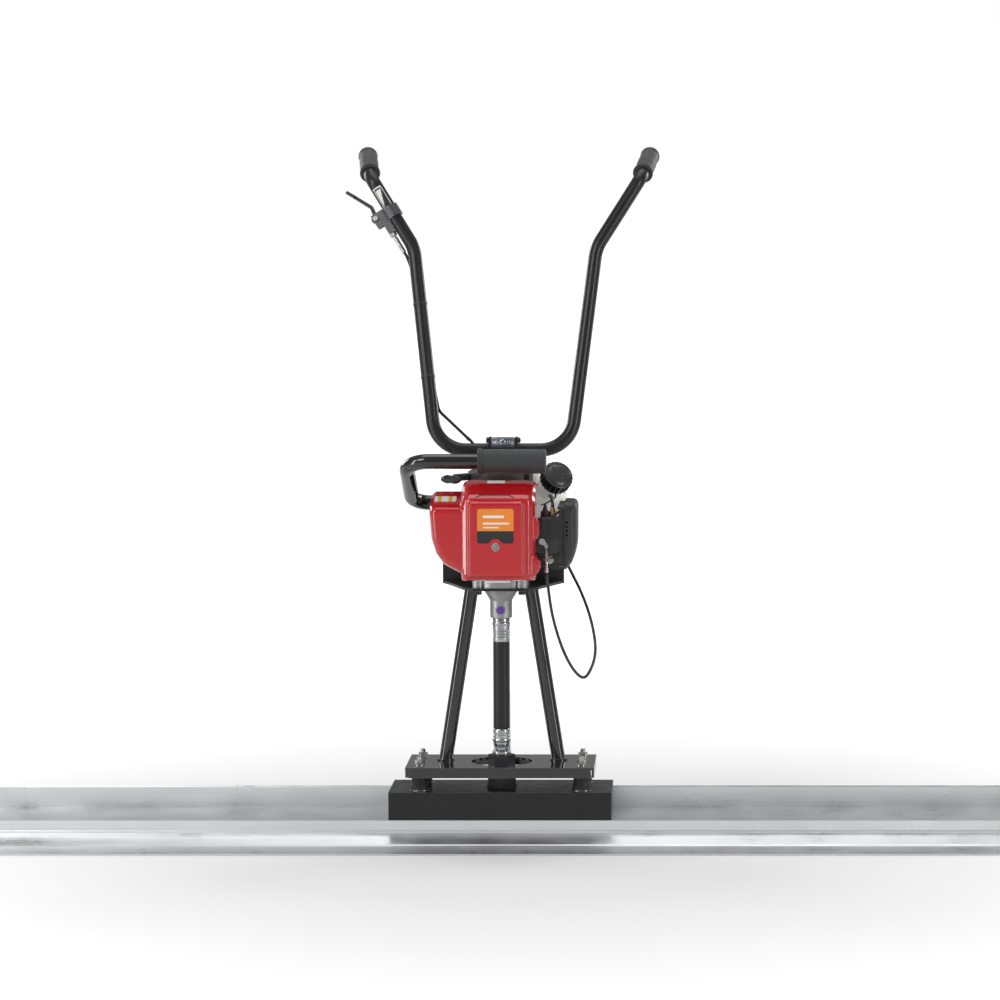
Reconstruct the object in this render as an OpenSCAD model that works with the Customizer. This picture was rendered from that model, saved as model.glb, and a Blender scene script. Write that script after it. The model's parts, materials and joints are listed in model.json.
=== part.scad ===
// Walk-behind power screed: a small four-stroke engine drives an eccentric shaft
// through a flexible shaft, and the eccentric shakes an aluminium screed board.
// +X runs along the board, +Y points to the operator, +Z is up. The origin lies on
// the sole of the board, under the vertical drive axis. Sizes are in millimetres.

/* [Screed board] */
// Length of the board along X
board_len = 2000; // [1200:100:3000]
// Height of the rear wall of the board
wall_h = 78; // [70:1:90]
// Height of the shelf that carries the vibrator box
shelf_z = 43; // [40:1:46]
// Distance from the drive axis to the tip of the toe
toe_y = 140; // [125:1:160]
// Wall thickness of the extrusion
board_t = 3; // [2.5:0.5:3.5]

/* [Vibrator box and base plate] */
// Length of the vibrator box along X
box_l = 356; // [340:1:380]
// Depth of the vibrator box along Y
box_w = 131; // [125:1:131]
// Height of the vibrator box
box_h = 45; // [45:1:50]
// Sheet thickness of the box and of the base plate
sheet_t = 4; // [3:1:4]
// Length of the base plate along X
plate_l = 301; // [295:1:330]
// Depth of the base plate along Y
plate_w = 145; // [140:1:160]
// Depth of the folded lips of the base plate
lip_h = 16.5; // [12:0.5:18]
// Diameter of the round opening in the base plate
plate_hole_d = 98; // [80:1:100]
// Spacing of the isolators along X
isolator_dx = 259; // [250:1:262]
// Spacing of the isolators along Y
isolator_dy = 80; // [76:1:90]
// Free height of an isolator
isolator_h = 36.6; // [30:0.1:45]

/* [Frame] */
// Height of the underside of the engine bracket
bracket_z = 408.6; // [400:0.1:430]
// Outer diameter of the leg tubes and of the handlebar tube
tube_d = 22.2; // [20:0.1:24]
// Wall thickness of the tubes
tube_t = 1.8; // [1.2:0.1:2.5]
// Outer diameter of the lifting handle tube
lift_d = 24; // [22:0.5:25]
// Length of the lifting grip
lift_grip_l = 108; // [90:1:115]

/* [Handlebar] */
// Height of the crossbar axis
bar_z = 625; // [620:1:632]
// Half the width of the handlebar at the crossbar
bar_half = 109.2; // [100:0.1:120]
// Length of a hand grip
grip_l = 112; // [100:1:125]
// Outer diameter of a hand grip
grip_d = 37; // [32:1:40]

/* [Hidden] */

$fn = 48;
run_gap = 0.05;         // radial running clearance
eps = 1;                // how far a cutter runs past the face it cuts

// Derived heights
box_top = shelf_z + box_h;
plate_z = box_top + isolator_h;         // underside of the base plate
plate_top = plate_z + sheet_t;
bracket_top = bracket_z + sheet_t;
box_back = 66;                          // rear face of the box and front face of the wall
box_front = box_back - box_w;

// Engine sizes and heights
case_z0 = bracket_top + 18;             // underside of the crankcase
case_z1 = case_z0 + 130;                // top of the crankcase
bore_z = case_z0 + 72;                  // height of the cylinder axis
fan_z = case_z1 + 2;                    // underside of the flywheel
recoil_z = case_z1 + 24;                // underside of the recoil cover
recoil_h = 15;
recoil_r = 52;
shaft_r = 6;                            // crankshaft radius
drum_r = 35;                            // clutch drum radius
case_x = 44;                            // half width of the crankcase
case_front = -42;
case_back = 36;
head_y = -114;                          // front face of the cylinder head
cover_front = -134;                     // front face of the red top cover
cover_z0 = 433;                         // underside of the red top cover

// Drive hose
hose_d = 26.8;
ferrule_d = 27.5;
core_r = 4.5;
hose_z0 = 182;
hose_z1 = 323;
ferrule_top = 362;
ferrule_bottom = 146;

// Rear wall of the engine bracket and crossbar clamp
wall_y = 76;                            // front face of the rear wall
wall_half = 98.5;
wall_top = 550;
mast_half = 40;
bar_y = 85;
clamp_half = 23.5;
crossbar_bore = tube_d + 0.12;          // running fit of the crossbar
ear_t = 4;
ear_top = bar_z + 21;
clamp_base = bar_z - 15;

// Handlebar: the right half's corner points, from the crossbar to the grip
bar_p1 = [bar_half, bar_y, bar_z];
bar_p2 = bar_p1 + [40, 93.4, 325];
bar_p3 = bar_p2 + [73.4, 29.6, 116.1];
grip_dir = unit([0.115, 0.945, 0.305]);
bar_p4 = bar_p3 + grip_dir * (20 + grip_l - 8);
grip_foot = bar_p3 + grip_dir * 20;     // front end of the right grip

// Throttle control: a local frame on the left upper section of the handlebar
lever_t = unit(flip_x(bar_p3 - bar_p2));             // along the tube, upwards
lever_n = unit(cross(lever_t, [0, 1, 0]));           // away from the tube, outwards
lever_y = cross(lever_t, lever_n);                   // pivot axis of the lever
lever_at = flip_x(bar_p2) + lever_t * 75;            // point of the tube axis at the pivot
lever_x = 28;                                        // pivot distance from the tube axis

// Colours
black = [0.05, 0.05, 0.055];
grey = [0.45, 0.45, 0.46];
zinc = [0.75, 0.75, 0.74];
alu = [0.8, 0.81, 0.82];
red = [0.72, 0.06, 0.08];
rubber = [0.13, 0.13, 0.135];
plastic = [0.2, 0.2, 0.21];

// ---------------------------------------------------------------- helpers

function unit(v) = v / norm(v);
function flip_x(v) = [-v.x, v.y, v.z];

// Turns +Z to the direction v
module aim(v) {
    rotate([0, acos(v.z / norm(v)), atan2(v.y, v.x)]) children();
}

// Places children in a frame whose axes are x, y and z and whose origin is o
module in_frame(o, x, y, z) {
    multmatrix([
        [x.x, y.x, z.x, o.x],
        [x.y, y.y, z.y, o.y],
        [x.z, y.z, z.z, o.z],
        [0, 0, 0, 1]
    ]) children();
}

// Round bar from a to b
module bar(a, b, d) {
    translate(a) aim(b - a) cylinder(d = d, h = norm(b - a));
}

// Half of the angle between the two legs of a corner
function half_angle(a, b, c) = acos(unit(a - b) * unit(c - b)) / 2;

// Distance from a corner to the start of its bend
function bend_reach(a, b, c, r) = r / tan(half_angle(a, b, c));

// Points of the bend at corner b, on the way from a to c, in n steps
function bend_points(a, b, c, r, n) =
    let (h = half_angle(a, b, c))
    let (s = b + unit(a - b) * bend_reach(a, b, c, r))
    let (o = b + unit(unit(a - b) + unit(c - b)) * r / sin(h))
    let (x = unit(s - o))
    let (y = cross(unit(cross(b - a, c - b)), x))
    let (turn = 180 - 2 * h)
    [for (i = [0:n]) o + r * (x * cos(turn * i / n) + y * sin(turn * i / n))];

// Centreline through the corner points p, with bend radius r[i] at corner i
function centreline(p, r, n) = concat(
    [p[0]],
    [for (i = [1:len(p) - 2]) each bend_points(p[i - 1], p[i], p[i + 1], r[i], n)],
    [p[len(p) - 1]]);

function heading(path, i) = unit(path[min(i + 1, len(path) - 1)] - path[max(i - 1, 0)]);

// One cross direction for each point, carried along the path without twist
function carried(path, i, x) = i >= len(path) ? [] :
    let (t = heading(path, i))
    let (turned = unit(x - t * (x * t)))
    concat([turned], carried(path, i + 1, turned));

function swept_points(path, across, r, n) = [
    for (i = [0:len(path) - 1], k = [0:n - 1])
        let (y = cross(heading(path, i), across[i]))
        path[i] + r * (across[i] * cos(360 * k / n) + y * sin(360 * k / n))
];

// Triangles of a swept skin whose first point has index o
function skin(rings, n, o) = [
    for (i = [0:rings - 2], k = [0:n - 1])
        let (a = o + i * n + k)
        let (b = o + i * n + (k + 1) % n)
        each [[a, a + n, b + n], [a, b + n, b]]
];

function reversed(faces) = [for (f = faces) [f[2], f[1], f[0]]];

// Tube along a path, n-sided, with outer radius ro and inner radius ri
module swept_tube(path, ro, ri, n) {
    across = carried(path, 0, unit(cross(heading(path, 0), [0.3, 0.5, 0.8])));
    m = len(path);
    last = (m - 1) * n;
    polyhedron(
        points = concat(swept_points(path, across, ro, n), swept_points(path, across, ri, n)),
        faces = concat(
            skin(m, n, 0),
            reversed(skin(m, n, m * n)),
            [for (k = [0:n - 1]) let (j = (k + 1) % n)
                each [[k, j, m * n + j], [k, m * n + j, m * n + k]]],
            [for (k = [0:n - 1]) let (j = (k + 1) % n) each [
                [last + k, m * n + last + j, last + j],
                [last + k, m * n + last + k, m * n + last + j]]]));
}

// Solid round cord along a path
module swept_cord(path, r, n) {
    across = carried(path, 0, unit(cross(heading(path, 0), [0.3, 0.5, 0.8])));
    m = len(path);
    polyhedron(
        points = swept_points(path, across, r, n),
        faces = concat(
            skin(m, n, 0),
            [[for (k = [0:n - 1]) k]],
            [[for (k = [0:n - 1]) m * n - 1 - k]]));
}

// Flat outline with round corners, from a to b
module rounded(a, b, r) {
    translate([a.x + r, a.y]) square([b.x - a.x - 2 * r, b.y - a.y]);
    translate([a.x, a.y + r]) square([b.x - a.x, b.y - a.y - 2 * r]);
    for (x = [a.x + r, b.x - r], y = [a.y + r, b.y - r])
        translate([x, y]) circle(r = r);
}

// Extrudes an X-Z outline along Y, from y0 to y1
module along_y(y0, y1) {
    translate([0, y1, 0]) rotate([90, 0, 0]) linear_extrude(y1 - y0) children();
}

// Extrudes a Y-Z outline along X, from x0 to x1
module along_x(x0, x1) {
    translate([x0, 0, 0]) rotate([90, 0, 90]) linear_extrude(x1 - x0) children();
}

// Ring of outer radius ro, inner radius ri and height h
module ring(ro, ri, h) {
    difference() {
        cylinder(r = ro, h = h);
        translate([0, 0, -eps]) cylinder(r = ri, h = h + 2 * eps);
    }
}

// Box from corner a to corner b
module block(a, b) {
    translate(a) cube(b - a);
}

// Upright block with rounded vertical edges
module round_block(a, b, r) {
    hull() for (x = [a.x + r, b.x - r], y = [a.y + r, b.y - r])
        translate([x, y, a.z]) cylinder(r = r, h = b.z - a.z, $fn = 32);
}

// Hexagonal prism, s across flats
module hex(s, h) {
    cylinder(d = s / cos(30), h = h, $fn = 6);
}

module at_isolators() {
    for (x = [-1, 1], y = [-1, 1])
        translate([x * isolator_dx / 2, y * isolator_dy / 2, 0]) children();
}

// Mounting bolts of the clutch housing
engine_bolt_x = 35;
engine_bolt_y = 30;
module at_engine_bolts() {
    for (x = [-1, 1], y = [-1, 1])
        translate([x * engine_bolt_x, y * engine_bolt_y, 0]) children();
}

// ---------------------------------------------------------------- board and box

board_bolt_x = 120;
board_bolt_z = shelf_z + 20;

// Closed outline of the extrusion in the Y-Z plane
board_outline = [
    [-toe_y, 0], [box_back + 4, 0], [box_back + 4, wall_h - 2],
    [box_back + 3, wall_h], [box_back + 1, wall_h], [box_back, wall_h - 2],
    [box_back, shelf_z], [box_front - 1, shelf_z],
    [box_front - 1, shelf_z - 16], [box_front - 4, shelf_z - 17],
    [box_front - 4, shelf_z - 19], [-100, 10], [-102, 11], [-104, 9],
    [-toe_y, 2]
];

module board_cavity(y0, y1, z0, z1) {
    translate([-board_len / 2 - eps, 0, 0])
        block([0, y0, z0], [board_len + 2 * eps, y1, z1]);
}

module screed_board() {
    color(alu) difference() {
        rotate([90, 0, 90])
            translate([0, 0, -board_len / 2])
                linear_extrude(board_len) polygon(board_outline);
        web = (box_back - box_front) / 3;
        for (i = [0:2])
            board_cavity(box_front + i * web + board_t, box_front + (i + 1) * web,
                board_t, shelf_z - board_t);
        translate([-board_len / 2 - eps, 0, 0]) rotate([90, 0, 90])
            linear_extrude(board_len + 2 * eps)
                polygon([[box_front - 3, board_t], [box_front - 3, shelf_z - 24],
                    [-100, 6], [-108, board_t]]);
        for (x = [-1, 1])
            translate([x * board_bolt_x, box_back - eps, board_bolt_z])
                rotate([-90, 0, 0]) cylinder(d = 11, h = 20);
    }
}

module board_bolts() {
    color(zinc) for (x = [-1, 1])
        translate([x * board_bolt_x, 0, board_bolt_z]) {
            // bolt, with its round head inside the box
            translate([0, box_back - sheet_t, 0]) rotate([-90, 0, 0]) {
                cylinder(d = 10, h = 30);
                translate([0, 0, -5]) cylinder(d = 20, h = 5);
            }
            // washer and nut on the operator's side
            translate([0, box_back + 4, 0]) rotate([-90, 0, 0]) {
                ring(11, 5.02, 2);
                translate([0, 0, 2]) difference() {
                    hex(17, 8);
                    translate([0, 0, -eps]) cylinder(d = 10.04, h = 10);
                }
            }
        }
}

exciter_r = 40;
neck_r = 22.5;

module vibrator_box() {
    color(black) difference() {
        block([-box_l / 2, box_front, shelf_z], [box_l / 2, box_back, box_top]);
        block([-box_l / 2 + sheet_t, box_front + sheet_t, shelf_z - eps],
            [box_l / 2 - sheet_t, box_back - sheet_t, box_top - sheet_t]);
        translate([0, 0, box_top - sheet_t - eps])
            cylinder(r = neck_r + 2, h = sheet_t + 2 * eps);
        at_isolators() translate([0, 0, box_top - sheet_t - eps])
            cylinder(d = stud_d + 1, h = sheet_t + 2 * eps);
        for (x = [-1, 1])
            translate([x * board_bolt_x, box_back - sheet_t - eps, board_bolt_z])
                rotate([-90, 0, 0]) cylinder(d = 11, h = 20);
    }
}

// ---------------------------------------------------------------- exciter

exciter_z0 = shelf_z + 4;               // underside of the exciter
weight_z0 = exciter_z0 + 13;
weight_z1 = box_top - 12;
lower_bearing_z = exciter_z0 + 4;
upper_bearing_z = box_top - 9;
neck_top = plate_z - 4;

module exciter_housing() {
    color(black) difference() {
        union() {
            translate([0, 0, exciter_z0 + 4])
                cylinder(r = exciter_r, h = box_top - sheet_t - exciter_z0 - 4);
            translate([0, 0, box_top - sheet_t - eps])
                cylinder(r = neck_r, h = neck_top - box_top + sheet_t + eps);
            translate([0, 0, box_top]) cylinder(r1 = neck_r + 2.5, r2 = neck_r, h = 5);
        }
        // chamber of the eccentric weight
        translate([0, 0, exciter_z0]) cylinder(r = 32, h = weight_z1 + 2 - exciter_z0);
        // seat of the upper bearing and bore of the neck
        translate([0, 0, upper_bearing_z]) cylinder(r = 17.5, h = 11);
        translate([0, 0, exciter_z0]) cylinder(r = 12, h = 100);
    }
}

module exciter_cap() {
    color(black) translate([0, 0, exciter_z0]) {
        cylinder(r = exciter_r, h = 4);
        translate([0, 0, 4 - eps]) ring(20, 14, 8 + eps);
    }
}

// Three deep-groove bearings: two in the exciter and one under the clutch drum
module bearing(ro, ri, h) {
    mid = (ro + ri) / 2;
    ball = (ro - ri) * 0.28;
    difference() {
        ring(ro, ri + run_gap, h);
        translate([0, 0, h / 2]) rotate_extrude() translate([mid, 0]) circle(r = ball);
    }
}

drum_bearing_z = bracket_z - 16;

module ball_bearings() {
    color(zinc) {
        translate([0, 0, lower_bearing_z]) bearing(14, 6, 8);
        translate([0, 0, upper_bearing_z]) bearing(17.5, 7.5, 11);
        translate([0, 0, drum_bearing_z]) bearing(16, 6, 10);
    }
}

module eccentric_shaft() {
    color(zinc) {
        difference() {
            union() {
                translate([0, 0, lower_bearing_z + 0.5]) cylinder(r = 6, h = 10.5);
                translate([0, 0, weight_z0 - 0.5])
                    cylinder(r = 9, h = upper_bearing_z - weight_z0);
                translate([0, 0, weight_z1]) cylinder(r = 7.5, h = neck_top - weight_z1 + 12);
                // half-round eccentric weight
                translate([0, 0, weight_z0]) intersection() {
                    cylinder(r = 28, h = weight_z1 - weight_z0);
                    block([-30, -30, 0], [30, 4, weight_z1 - weight_z0]);
                }
            }
            // square socket for the end of the flexible core
            translate([-3.55, -3.55, neck_top - 10]) cube([7.1, 7.1, 40]);
        }
    }
}

module coupling_nut() {
    color(black) translate([0, 0, neck_top]) difference() {
        hex(38, ferrule_bottom - neck_top - 6);
        translate([0, 0, -eps]) cylinder(r = 12, h = 40);
    }
}

// ---------------------------------------------------------------- isolators and base

module isolators() {
    waist = 12.5;
    flange = 16.5;
    color(rubber) at_isolators() translate([0, 0, box_top]) difference() {
        rotate_extrude() polygon(concat(
            [[0, 0], [flange, 0], [flange, 6]],
            [for (a = [-60:15:60])
                [flange - (flange - waist) * cos(a * 1.5), isolator_h / 2 + a / 60 * (isolator_h / 2 - 7)]],
            [[flange, isolator_h - 6], [flange, isolator_h], [0, isolator_h]]));
        translate([0, 0, -eps]) cylinder(d = stud_d, h = isolator_h + 2 * eps);
    }
}

// Stud, and a washer and nut at each end of it
stud_d = 8;
module stud_nut() {
    difference() {
        hex(13, 7);
        translate([0, 0, -eps]) cylinder(d = stud_d + 0.04, h = 10);
    }
}

module isolator_fasteners() {
    color(zinc) at_isolators() {
        translate([0, 0, box_top - sheet_t - 12])
            cylinder(d = stud_d, h = isolator_h + 2 * sheet_t + 26);
        translate([0, 0, plate_top]) {
            ring(8.5, stud_d / 2 + 0.02, 1.6);
            translate([0, 0, 1.6]) stud_nut();
        }
        translate([0, 0, box_top - sheet_t - 8.6]) {
            translate([0, 0, 7]) ring(8.5, stud_d / 2 + 0.02, 1.6);
            stud_nut();
        }
    }
}

module base_plate() {
    x = plate_l / 2;
    y = plate_w / 2;
    gap = 5;                            // open corner between two lips
    color(black) difference() {
        union() {
            block([-x, -y, plate_z], [x, y, plate_top]);
            for (s = [-1, 1]) {
                translate([0, s * (y - sheet_t / 2), plate_top - lip_h / 2])
                    cube([plate_l - 2 * gap, sheet_t, lip_h], center = true);
                translate([s * (x - sheet_t / 2), 0, plate_top - lip_h / 2])
                    cube([sheet_t, plate_w - 2 * gap, lip_h], center = true);
            }
        }
        translate([0, 0, plate_z - eps])
            cylinder(d = plate_hole_d, h = sheet_t + 2 * eps, $fn = 96);
        at_isolators() translate([0, 0, plate_z - eps])
            cylinder(d = stud_d + 1, h = sheet_t + 2 * eps);
    }
}

// ---------------------------------------------------------------- legs and bracket

// Leg tube from foot to head, cut level at both ends, with a weld bead at the foot
module leg(foot, head) {
    u = unit(head - foot);
    far = 200;                          // reach of the blocks that cut the ends level
    color(black) difference() {
        union() {
            bar(foot - u * 20, head + u * 20, tube_d);
            translate(foot) cylinder(d = tube_d + 6, h = 2.5);
        }
        bar(foot - u * 30, head + u * 30, tube_d - 2 * tube_t);
        block([-far, -far, foot.z - 60], [far, far, foot.z]);
        block([-far, -far, head.z], [far, far, head.z + 60]);
    }
}

leg_foot = [91, 14, plate_top];
leg_head = [47.5, 14, bracket_z];

module leg_left() {
    leg(flip_x(leg_foot), flip_x(leg_head));
}

module leg_right() {
    leg(leg_foot, leg_head);
}

module leg_rear() {
    leg([0, 60, plate_top], [0, 56, bracket_z]);
}

module engine_bracket() {
    outline = [[-44, -45], [44, -45], [61, -20], [85, 48], [wall_half, wall_y + 4],
        [-wall_half, wall_y + 4], [-85, 48], [-61, -20]];
    color(black) difference() {
        union() {
            translate([0, 0, bracket_z]) linear_extrude(sheet_t) polygon(outline);
            // rear wall and mast
            block([-wall_half, wall_y, bracket_z], [wall_half, wall_y + sheet_t, wall_top]);
            translate([0, wall_y + sheet_t, 0]) rotate([90, 0, 0]) linear_extrude(sheet_t)
                polygon([[-70, wall_top - eps], [70, wall_top - eps],
                    [mast_half, wall_top + 22], [mast_half, clamp_base],
                    [-mast_half, clamp_base], [-mast_half, wall_top + 22]]);
            // clamp channel on top of the mast, with two slotted ears
            block([-clamp_half, wall_y - 5, clamp_base - ear_t],
                [clamp_half, bar_y + 14, clamp_base]);
            for (s = [-1, 1])
                translate([s * (clamp_half - ear_t / 2), bar_y, (clamp_base - eps + ear_top) / 2])
                    cube([ear_t, 28, ear_top - clamp_base + eps], center = true);
        }
        for (s = [-1, 1])
            translate([s * (clamp_half - ear_t / 2), bar_y, bar_z]) {
                rotate([0, 90, 0]) cylinder(d = crossbar_bore, h = ear_t + 2, center = true);
                translate([0, 0, 20])
                    cube([ear_t + 2, crossbar_bore, 40], center = true);
            }
        translate([0, 0, bracket_z - eps]) cylinder(r = 29, h = sheet_t + 2 * eps);
        at_engine_bolts() translate([0, 0, bracket_z - eps])
            cylinder(d = 6.4, h = sheet_t + 2 * eps);
        at_clamp_bolt() cylinder(d = clamp_bolt_d + 0.2, h = 60, center = true);
        // lightening hole of the wall
        translate([0, wall_y - eps, 480]) rotate([-90, 0, 0])
            cylinder(r = 24, h = sheet_t + 2 * eps);
    }
}

// Axis of the cross bolt of the handlebar clamp
clamp_bolt_d = 5;
module at_clamp_bolt() {
    translate([0, bar_y, ear_top - 5]) rotate([0, 90, 0]) children();
}

// Block that presses the crossbar down into the clamp channel
module clamp_saddle() {
    color(zinc) difference() {
        block([-clamp_half + ear_t + 0.2, bar_y - 10.5, bar_z + 5],
            [clamp_half - ear_t - 0.2, bar_y + 10.5, ear_top - 1]);
        translate([0, bar_y, bar_z]) rotate([0, 90, 0])
            cylinder(d = crossbar_bore, h = 100, center = true);
        at_clamp_bolt() cylinder(d = clamp_bolt_d + 0.2, h = 100, center = true);
    }
}

// Hex bolts: four hold the engine to its bracket, and one crosses the handlebar clamp
module hex_bolts() {
    color(plastic) {
        at_engine_bolts() translate([0, 0, bracket_z]) {
            cylinder(d = 6, h = 14);
            translate([0, 0, -1.5]) cylinder(r = 6.5, h = 1.5);
            translate([0, 0, -7]) hex(10, 6);
        }
        at_clamp_bolt() {
            translate([0, 0, -clamp_half - 3]) cylinder(d = clamp_bolt_d, h = 2 * clamp_half + 8);
            translate([0, 0, -clamp_half - 4]) hex(8, 4);
            translate([0, 0, clamp_half]) hex(8, 4);
        }
    }
}

// ---------------------------------------------------------------- handlebar

bar_points = [
    flip_x(bar_p4), flip_x(bar_p3), flip_x(bar_p2), flip_x(bar_p1),
    bar_p1, bar_p2, bar_p3, bar_p4
];
bar_bends = [0, 30, 70, 55, 55, 70, 30, 0];

module handlebar() {
    color(black) swept_tube(centreline(bar_points, bar_bends, 7), tube_d / 2,
        tube_d / 2 - tube_t, 24);
}

// Closed rubber grip with a collar at its mouth and a domed end
module hand_grip() {
    r = grip_d / 2;
    depth = grip_l - 8;
    color(rubber) difference() {
        union() {
            cylinder(r = r - 0.5, h = grip_l - r * 0.7);
            cylinder(r = r + 0.8, h = 6);
            intersection() {
                translate([0, 0, grip_l - r * 1.15]) sphere(r = r * 1.15);
                cylinder(r = r - 0.5, h = grip_l + eps);
                translate([0, 0, grip_l / 2]) cylinder(r = r, h = grip_l);
            }
        }
        translate([0, 0, -eps]) cylinder(d = tube_d + 0.1, h = depth + 0.1 + eps);
    }
}

module grip_right() {
    translate(grip_foot) aim(grip_dir) hand_grip();
}

module grip_left() {
    translate(flip_x(grip_foot)) aim(flip_x(grip_dir)) hand_grip();
}

// ---------------------------------------------------------------- lifting handle

lift_y = -75;
lift_z = 618;
lift_x = -146;
lift_points = [
    [-60, wall_y - lift_d / 2, 541], [lift_x, wall_y - lift_d / 2, 541],
    [lift_x, lift_y, lift_z], [74, lift_y, lift_z]
];
lift_bends = [0, 28, 36, 0];

module lifting_handle() {
    color(black) swept_tube(centreline(lift_points, lift_bends, 8), lift_d / 2,
        lift_d / 2 - tube_t, 24);
}

module lifting_grip() {
    color(rubber) translate([76 - lift_grip_l, lift_y, lift_z]) rotate([0, 90, 0])
        difference() {
            union() {
                cylinder(r = 20, h = lift_grip_l);
                cylinder(r = 21.5, h = 6);
            }
            translate([0, 0, -eps]) cylinder(d = lift_d + 0.1, h = lift_grip_l - 1.9 + eps);
        }
}

// ---------------------------------------------------------------- throttle control

module at_lever() {
    in_frame(lever_at, lever_n, lever_y, lever_t) children();
}

// Local frame: x away from the tube, y along the pivot axis, z up along the tube
module throttle_bracket() {
    color(grey) at_lever() difference() {
        union() {
            translate([0, 0, -14]) cylinder(r = tube_d / 2 + 3, h = 20);
            block([8, -7, -16], [lever_x + 5, -3.2, 8]);
            block([8, 3.2, -16], [lever_x + 5, 7, 8]);
            block([10, -7, -34], [adjuster_x + 5, 7, -12]);
        }
        translate([0, 0, -60]) cylinder(r = tube_d / 2 + run_gap, h = 120);
        translate([lever_x, 0, 0]) rotate([90, 0, 0]) cylinder(d = 5, h = 40, center = true);
        translate([adjuster_x, 0, -60]) cylinder(r = 3, h = 52);
        translate([lever_x, 0, 0]) rotate([90, 0, 0]) cylinder(r = 10, h = 6.4, center = true);
    }
}

module throttle_lever() {
    color(grey) at_lever() translate([lever_x, 0, 0]) difference() {
        union() {
            rotate([90, 0, 0]) cylinder(r = 8, h = 5.6, center = true);
            // bent flat arm
            along_y(-2.8, 2.8)
                polygon([[-4, 0], [-6, 22], [10, 54], [15, 52], [-0.5, 20], [3, 0]]);
            // thumb paddle
            translate([15, 0, 58]) rotate([0, 28, 0]) cube([5, 14, 15], center = true);
        }
        rotate([90, 0, 0]) cylinder(r = 2.5 + run_gap, h = 20, center = true);
    }
}

module lever_screw() {
    color(zinc) at_lever() translate([lever_x, 0, 0]) rotate([90, 0, 0]) {
        translate([0, 0, -10]) cylinder(r = 2.5, h = 17);
        translate([0, 0, 7]) cylinder(r = 5, h = 3.5);
        translate([0, 0, -10.5]) hex(8, 3.5);
    }
}

adjuster_x = 17.5;                      // distance of the adjuster from the tube axis
module cable_adjuster() {
    color(zinc) at_lever() translate([adjuster_x, 0, 0]) difference() {
        union() {
            translate([0, 0, -46]) cylinder(r = 2.9, h = 36);
            translate([0, 0, -40]) hex(10, 6);
            translate([0, 0, -72]) cylinder(r = 3.6, h = 28);
        }
        translate([0, 0, -80]) cylinder(r = 1.3, h = 80);
    }
}

// Point given in the lever's local frame
function lever_point(x, y, z) = lever_at + lever_n * x + lever_y * y + lever_t * z;

cable_d = 4.8;
upper_cable = [
    lever_point(adjuster_x, 0, -72.1),
    lever_point(adjuster_x, 0, -80),
    lever_point(adjuster_x + 3.5, -10, -92),
    flip_x(bar_p1) + [-32, 92, 258],
    flip_x(bar_p1) + [-5, 46, 108],
    flip_x(bar_p1) + [24, 22, 44],
    flip_x(bar_p1) + [52, 16, 17]
];

module throttle_cable_upper() {
    color(rubber) swept_cord(centreline(upper_cable, [0, 10, 20, 60, 60, 40, 0], 6),
        cable_d / 2, 12);
}

loop_y = -80;
lower_cable = [
    [-38, bar_y + 18, bar_z - 16],
    [-28, bar_y + 6, bar_z - 70],
    [40, bar_y + 2, 490],
    [112, bar_y, 470],
    [114, 48, 452],
    [152, -12, 372],
    [156, -50, 280],
    [126, -66, 262],
    [96, -74, 300],
    [76, loop_y, 420],
    [76, loop_y, 446]
];

module throttle_cable_lower() {
    color(rubber) swept_cord(
        centreline(lower_cable, [0, 30, 60, 24, 20, 60, 26, 22, 30, 60, 0], 6), cable_d / 2, 12);
    // metal end sleeve
    color(zinc) translate([76, loop_y, 446]) cylinder(r = 3.4, h = 16);
}

// ---------------------------------------------------------------- flexible drive

module drive_hose() {
    color(rubber) translate([0, 0, hose_z0]) ring(hose_d / 2, 8, hose_z1 - hose_z0);
}

// Lower and upper end fittings of the hose
module hose_ferrules() {
    r = ferrule_d / 2;
    color(zinc) {
        difference() {
            union() {
                translate([0, 0, ferrule_bottom + 8]) cylinder(r = r, h = hose_z0 - ferrule_bottom - 8);
                translate([0, 0, ferrule_bottom + 12]) cylinder(r = r + 1, h = 6);
                translate([0, 0, ferrule_bottom]) hex(22, 8);
                translate([0, 0, ferrule_bottom - 6]) cylinder(r = 15, h = 6);
            }
            translate([0, 0, ferrule_bottom - 10]) cylinder(r = 8, h = 80);
        }
        difference() {
            union() {
                translate([0, 0, hose_z1]) cylinder(r = r, h = ferrule_top - hose_z1);
                translate([0, 0, hose_z1 + 27]) cylinder(r = r + 0.8, h = 5);
                translate([0, 0, ferrule_top]) cylinder(r = 11, h = 18);
            }
            translate([0, 0, hose_z1 - 10]) cylinder(r = 8, h = 80);
        }
    }
}

module flex_core() {
    color(grey) {
        translate([0, 0, neck_top + 14]) cylinder(r = core_r, h = 384 - neck_top - 14);
        translate([-3.5, -3.5, neck_top - 8]) cube([7, 7, 24]);
        translate([-3.5, -3.5, 382]) cube([7, 7, 12]);
    }
}

// Bell under the bracket that joins the hose to the clutch housing
module adapter_bell() {
    color(alu) difference() {
        union() {
            translate([0, 0, bracket_z]) cylinder(r = 28.9, h = 6);
            translate([0, 0, bracket_z - 2]) cylinder(r = 28, h = 2.5);
            translate([0, 0, bracket_z - 19]) cylinder(r1 = 17.7, r2 = 28, h = 17);
            translate([0, 0, ferrule_top]) cylinder(r = 17.7, h = 46);
            // pad of the clamp bolt
            translate([0, -12, 375]) rotate([90, 0, 0]) cylinder(r = 8, h = 7);
            block([-3, -19, 366], [3, 0, 398]);
        }
        translate([0, 0, ferrule_top - eps]) cylinder(r = 11, h = 19);
        translate([0, 0, ferrule_top]) cylinder(r = 8.5, h = 60);
        translate([0, 0, drum_bearing_z]) cylinder(r = 16, h = 60);
        translate([0, -30, 375]) rotate([-90, 0, 0]) cylinder(r = 3, h = 19);
        // slit that lets the collar close
        block([-1, 0, ferrule_top - eps], [1, 30, 385]);
    }
}

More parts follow.
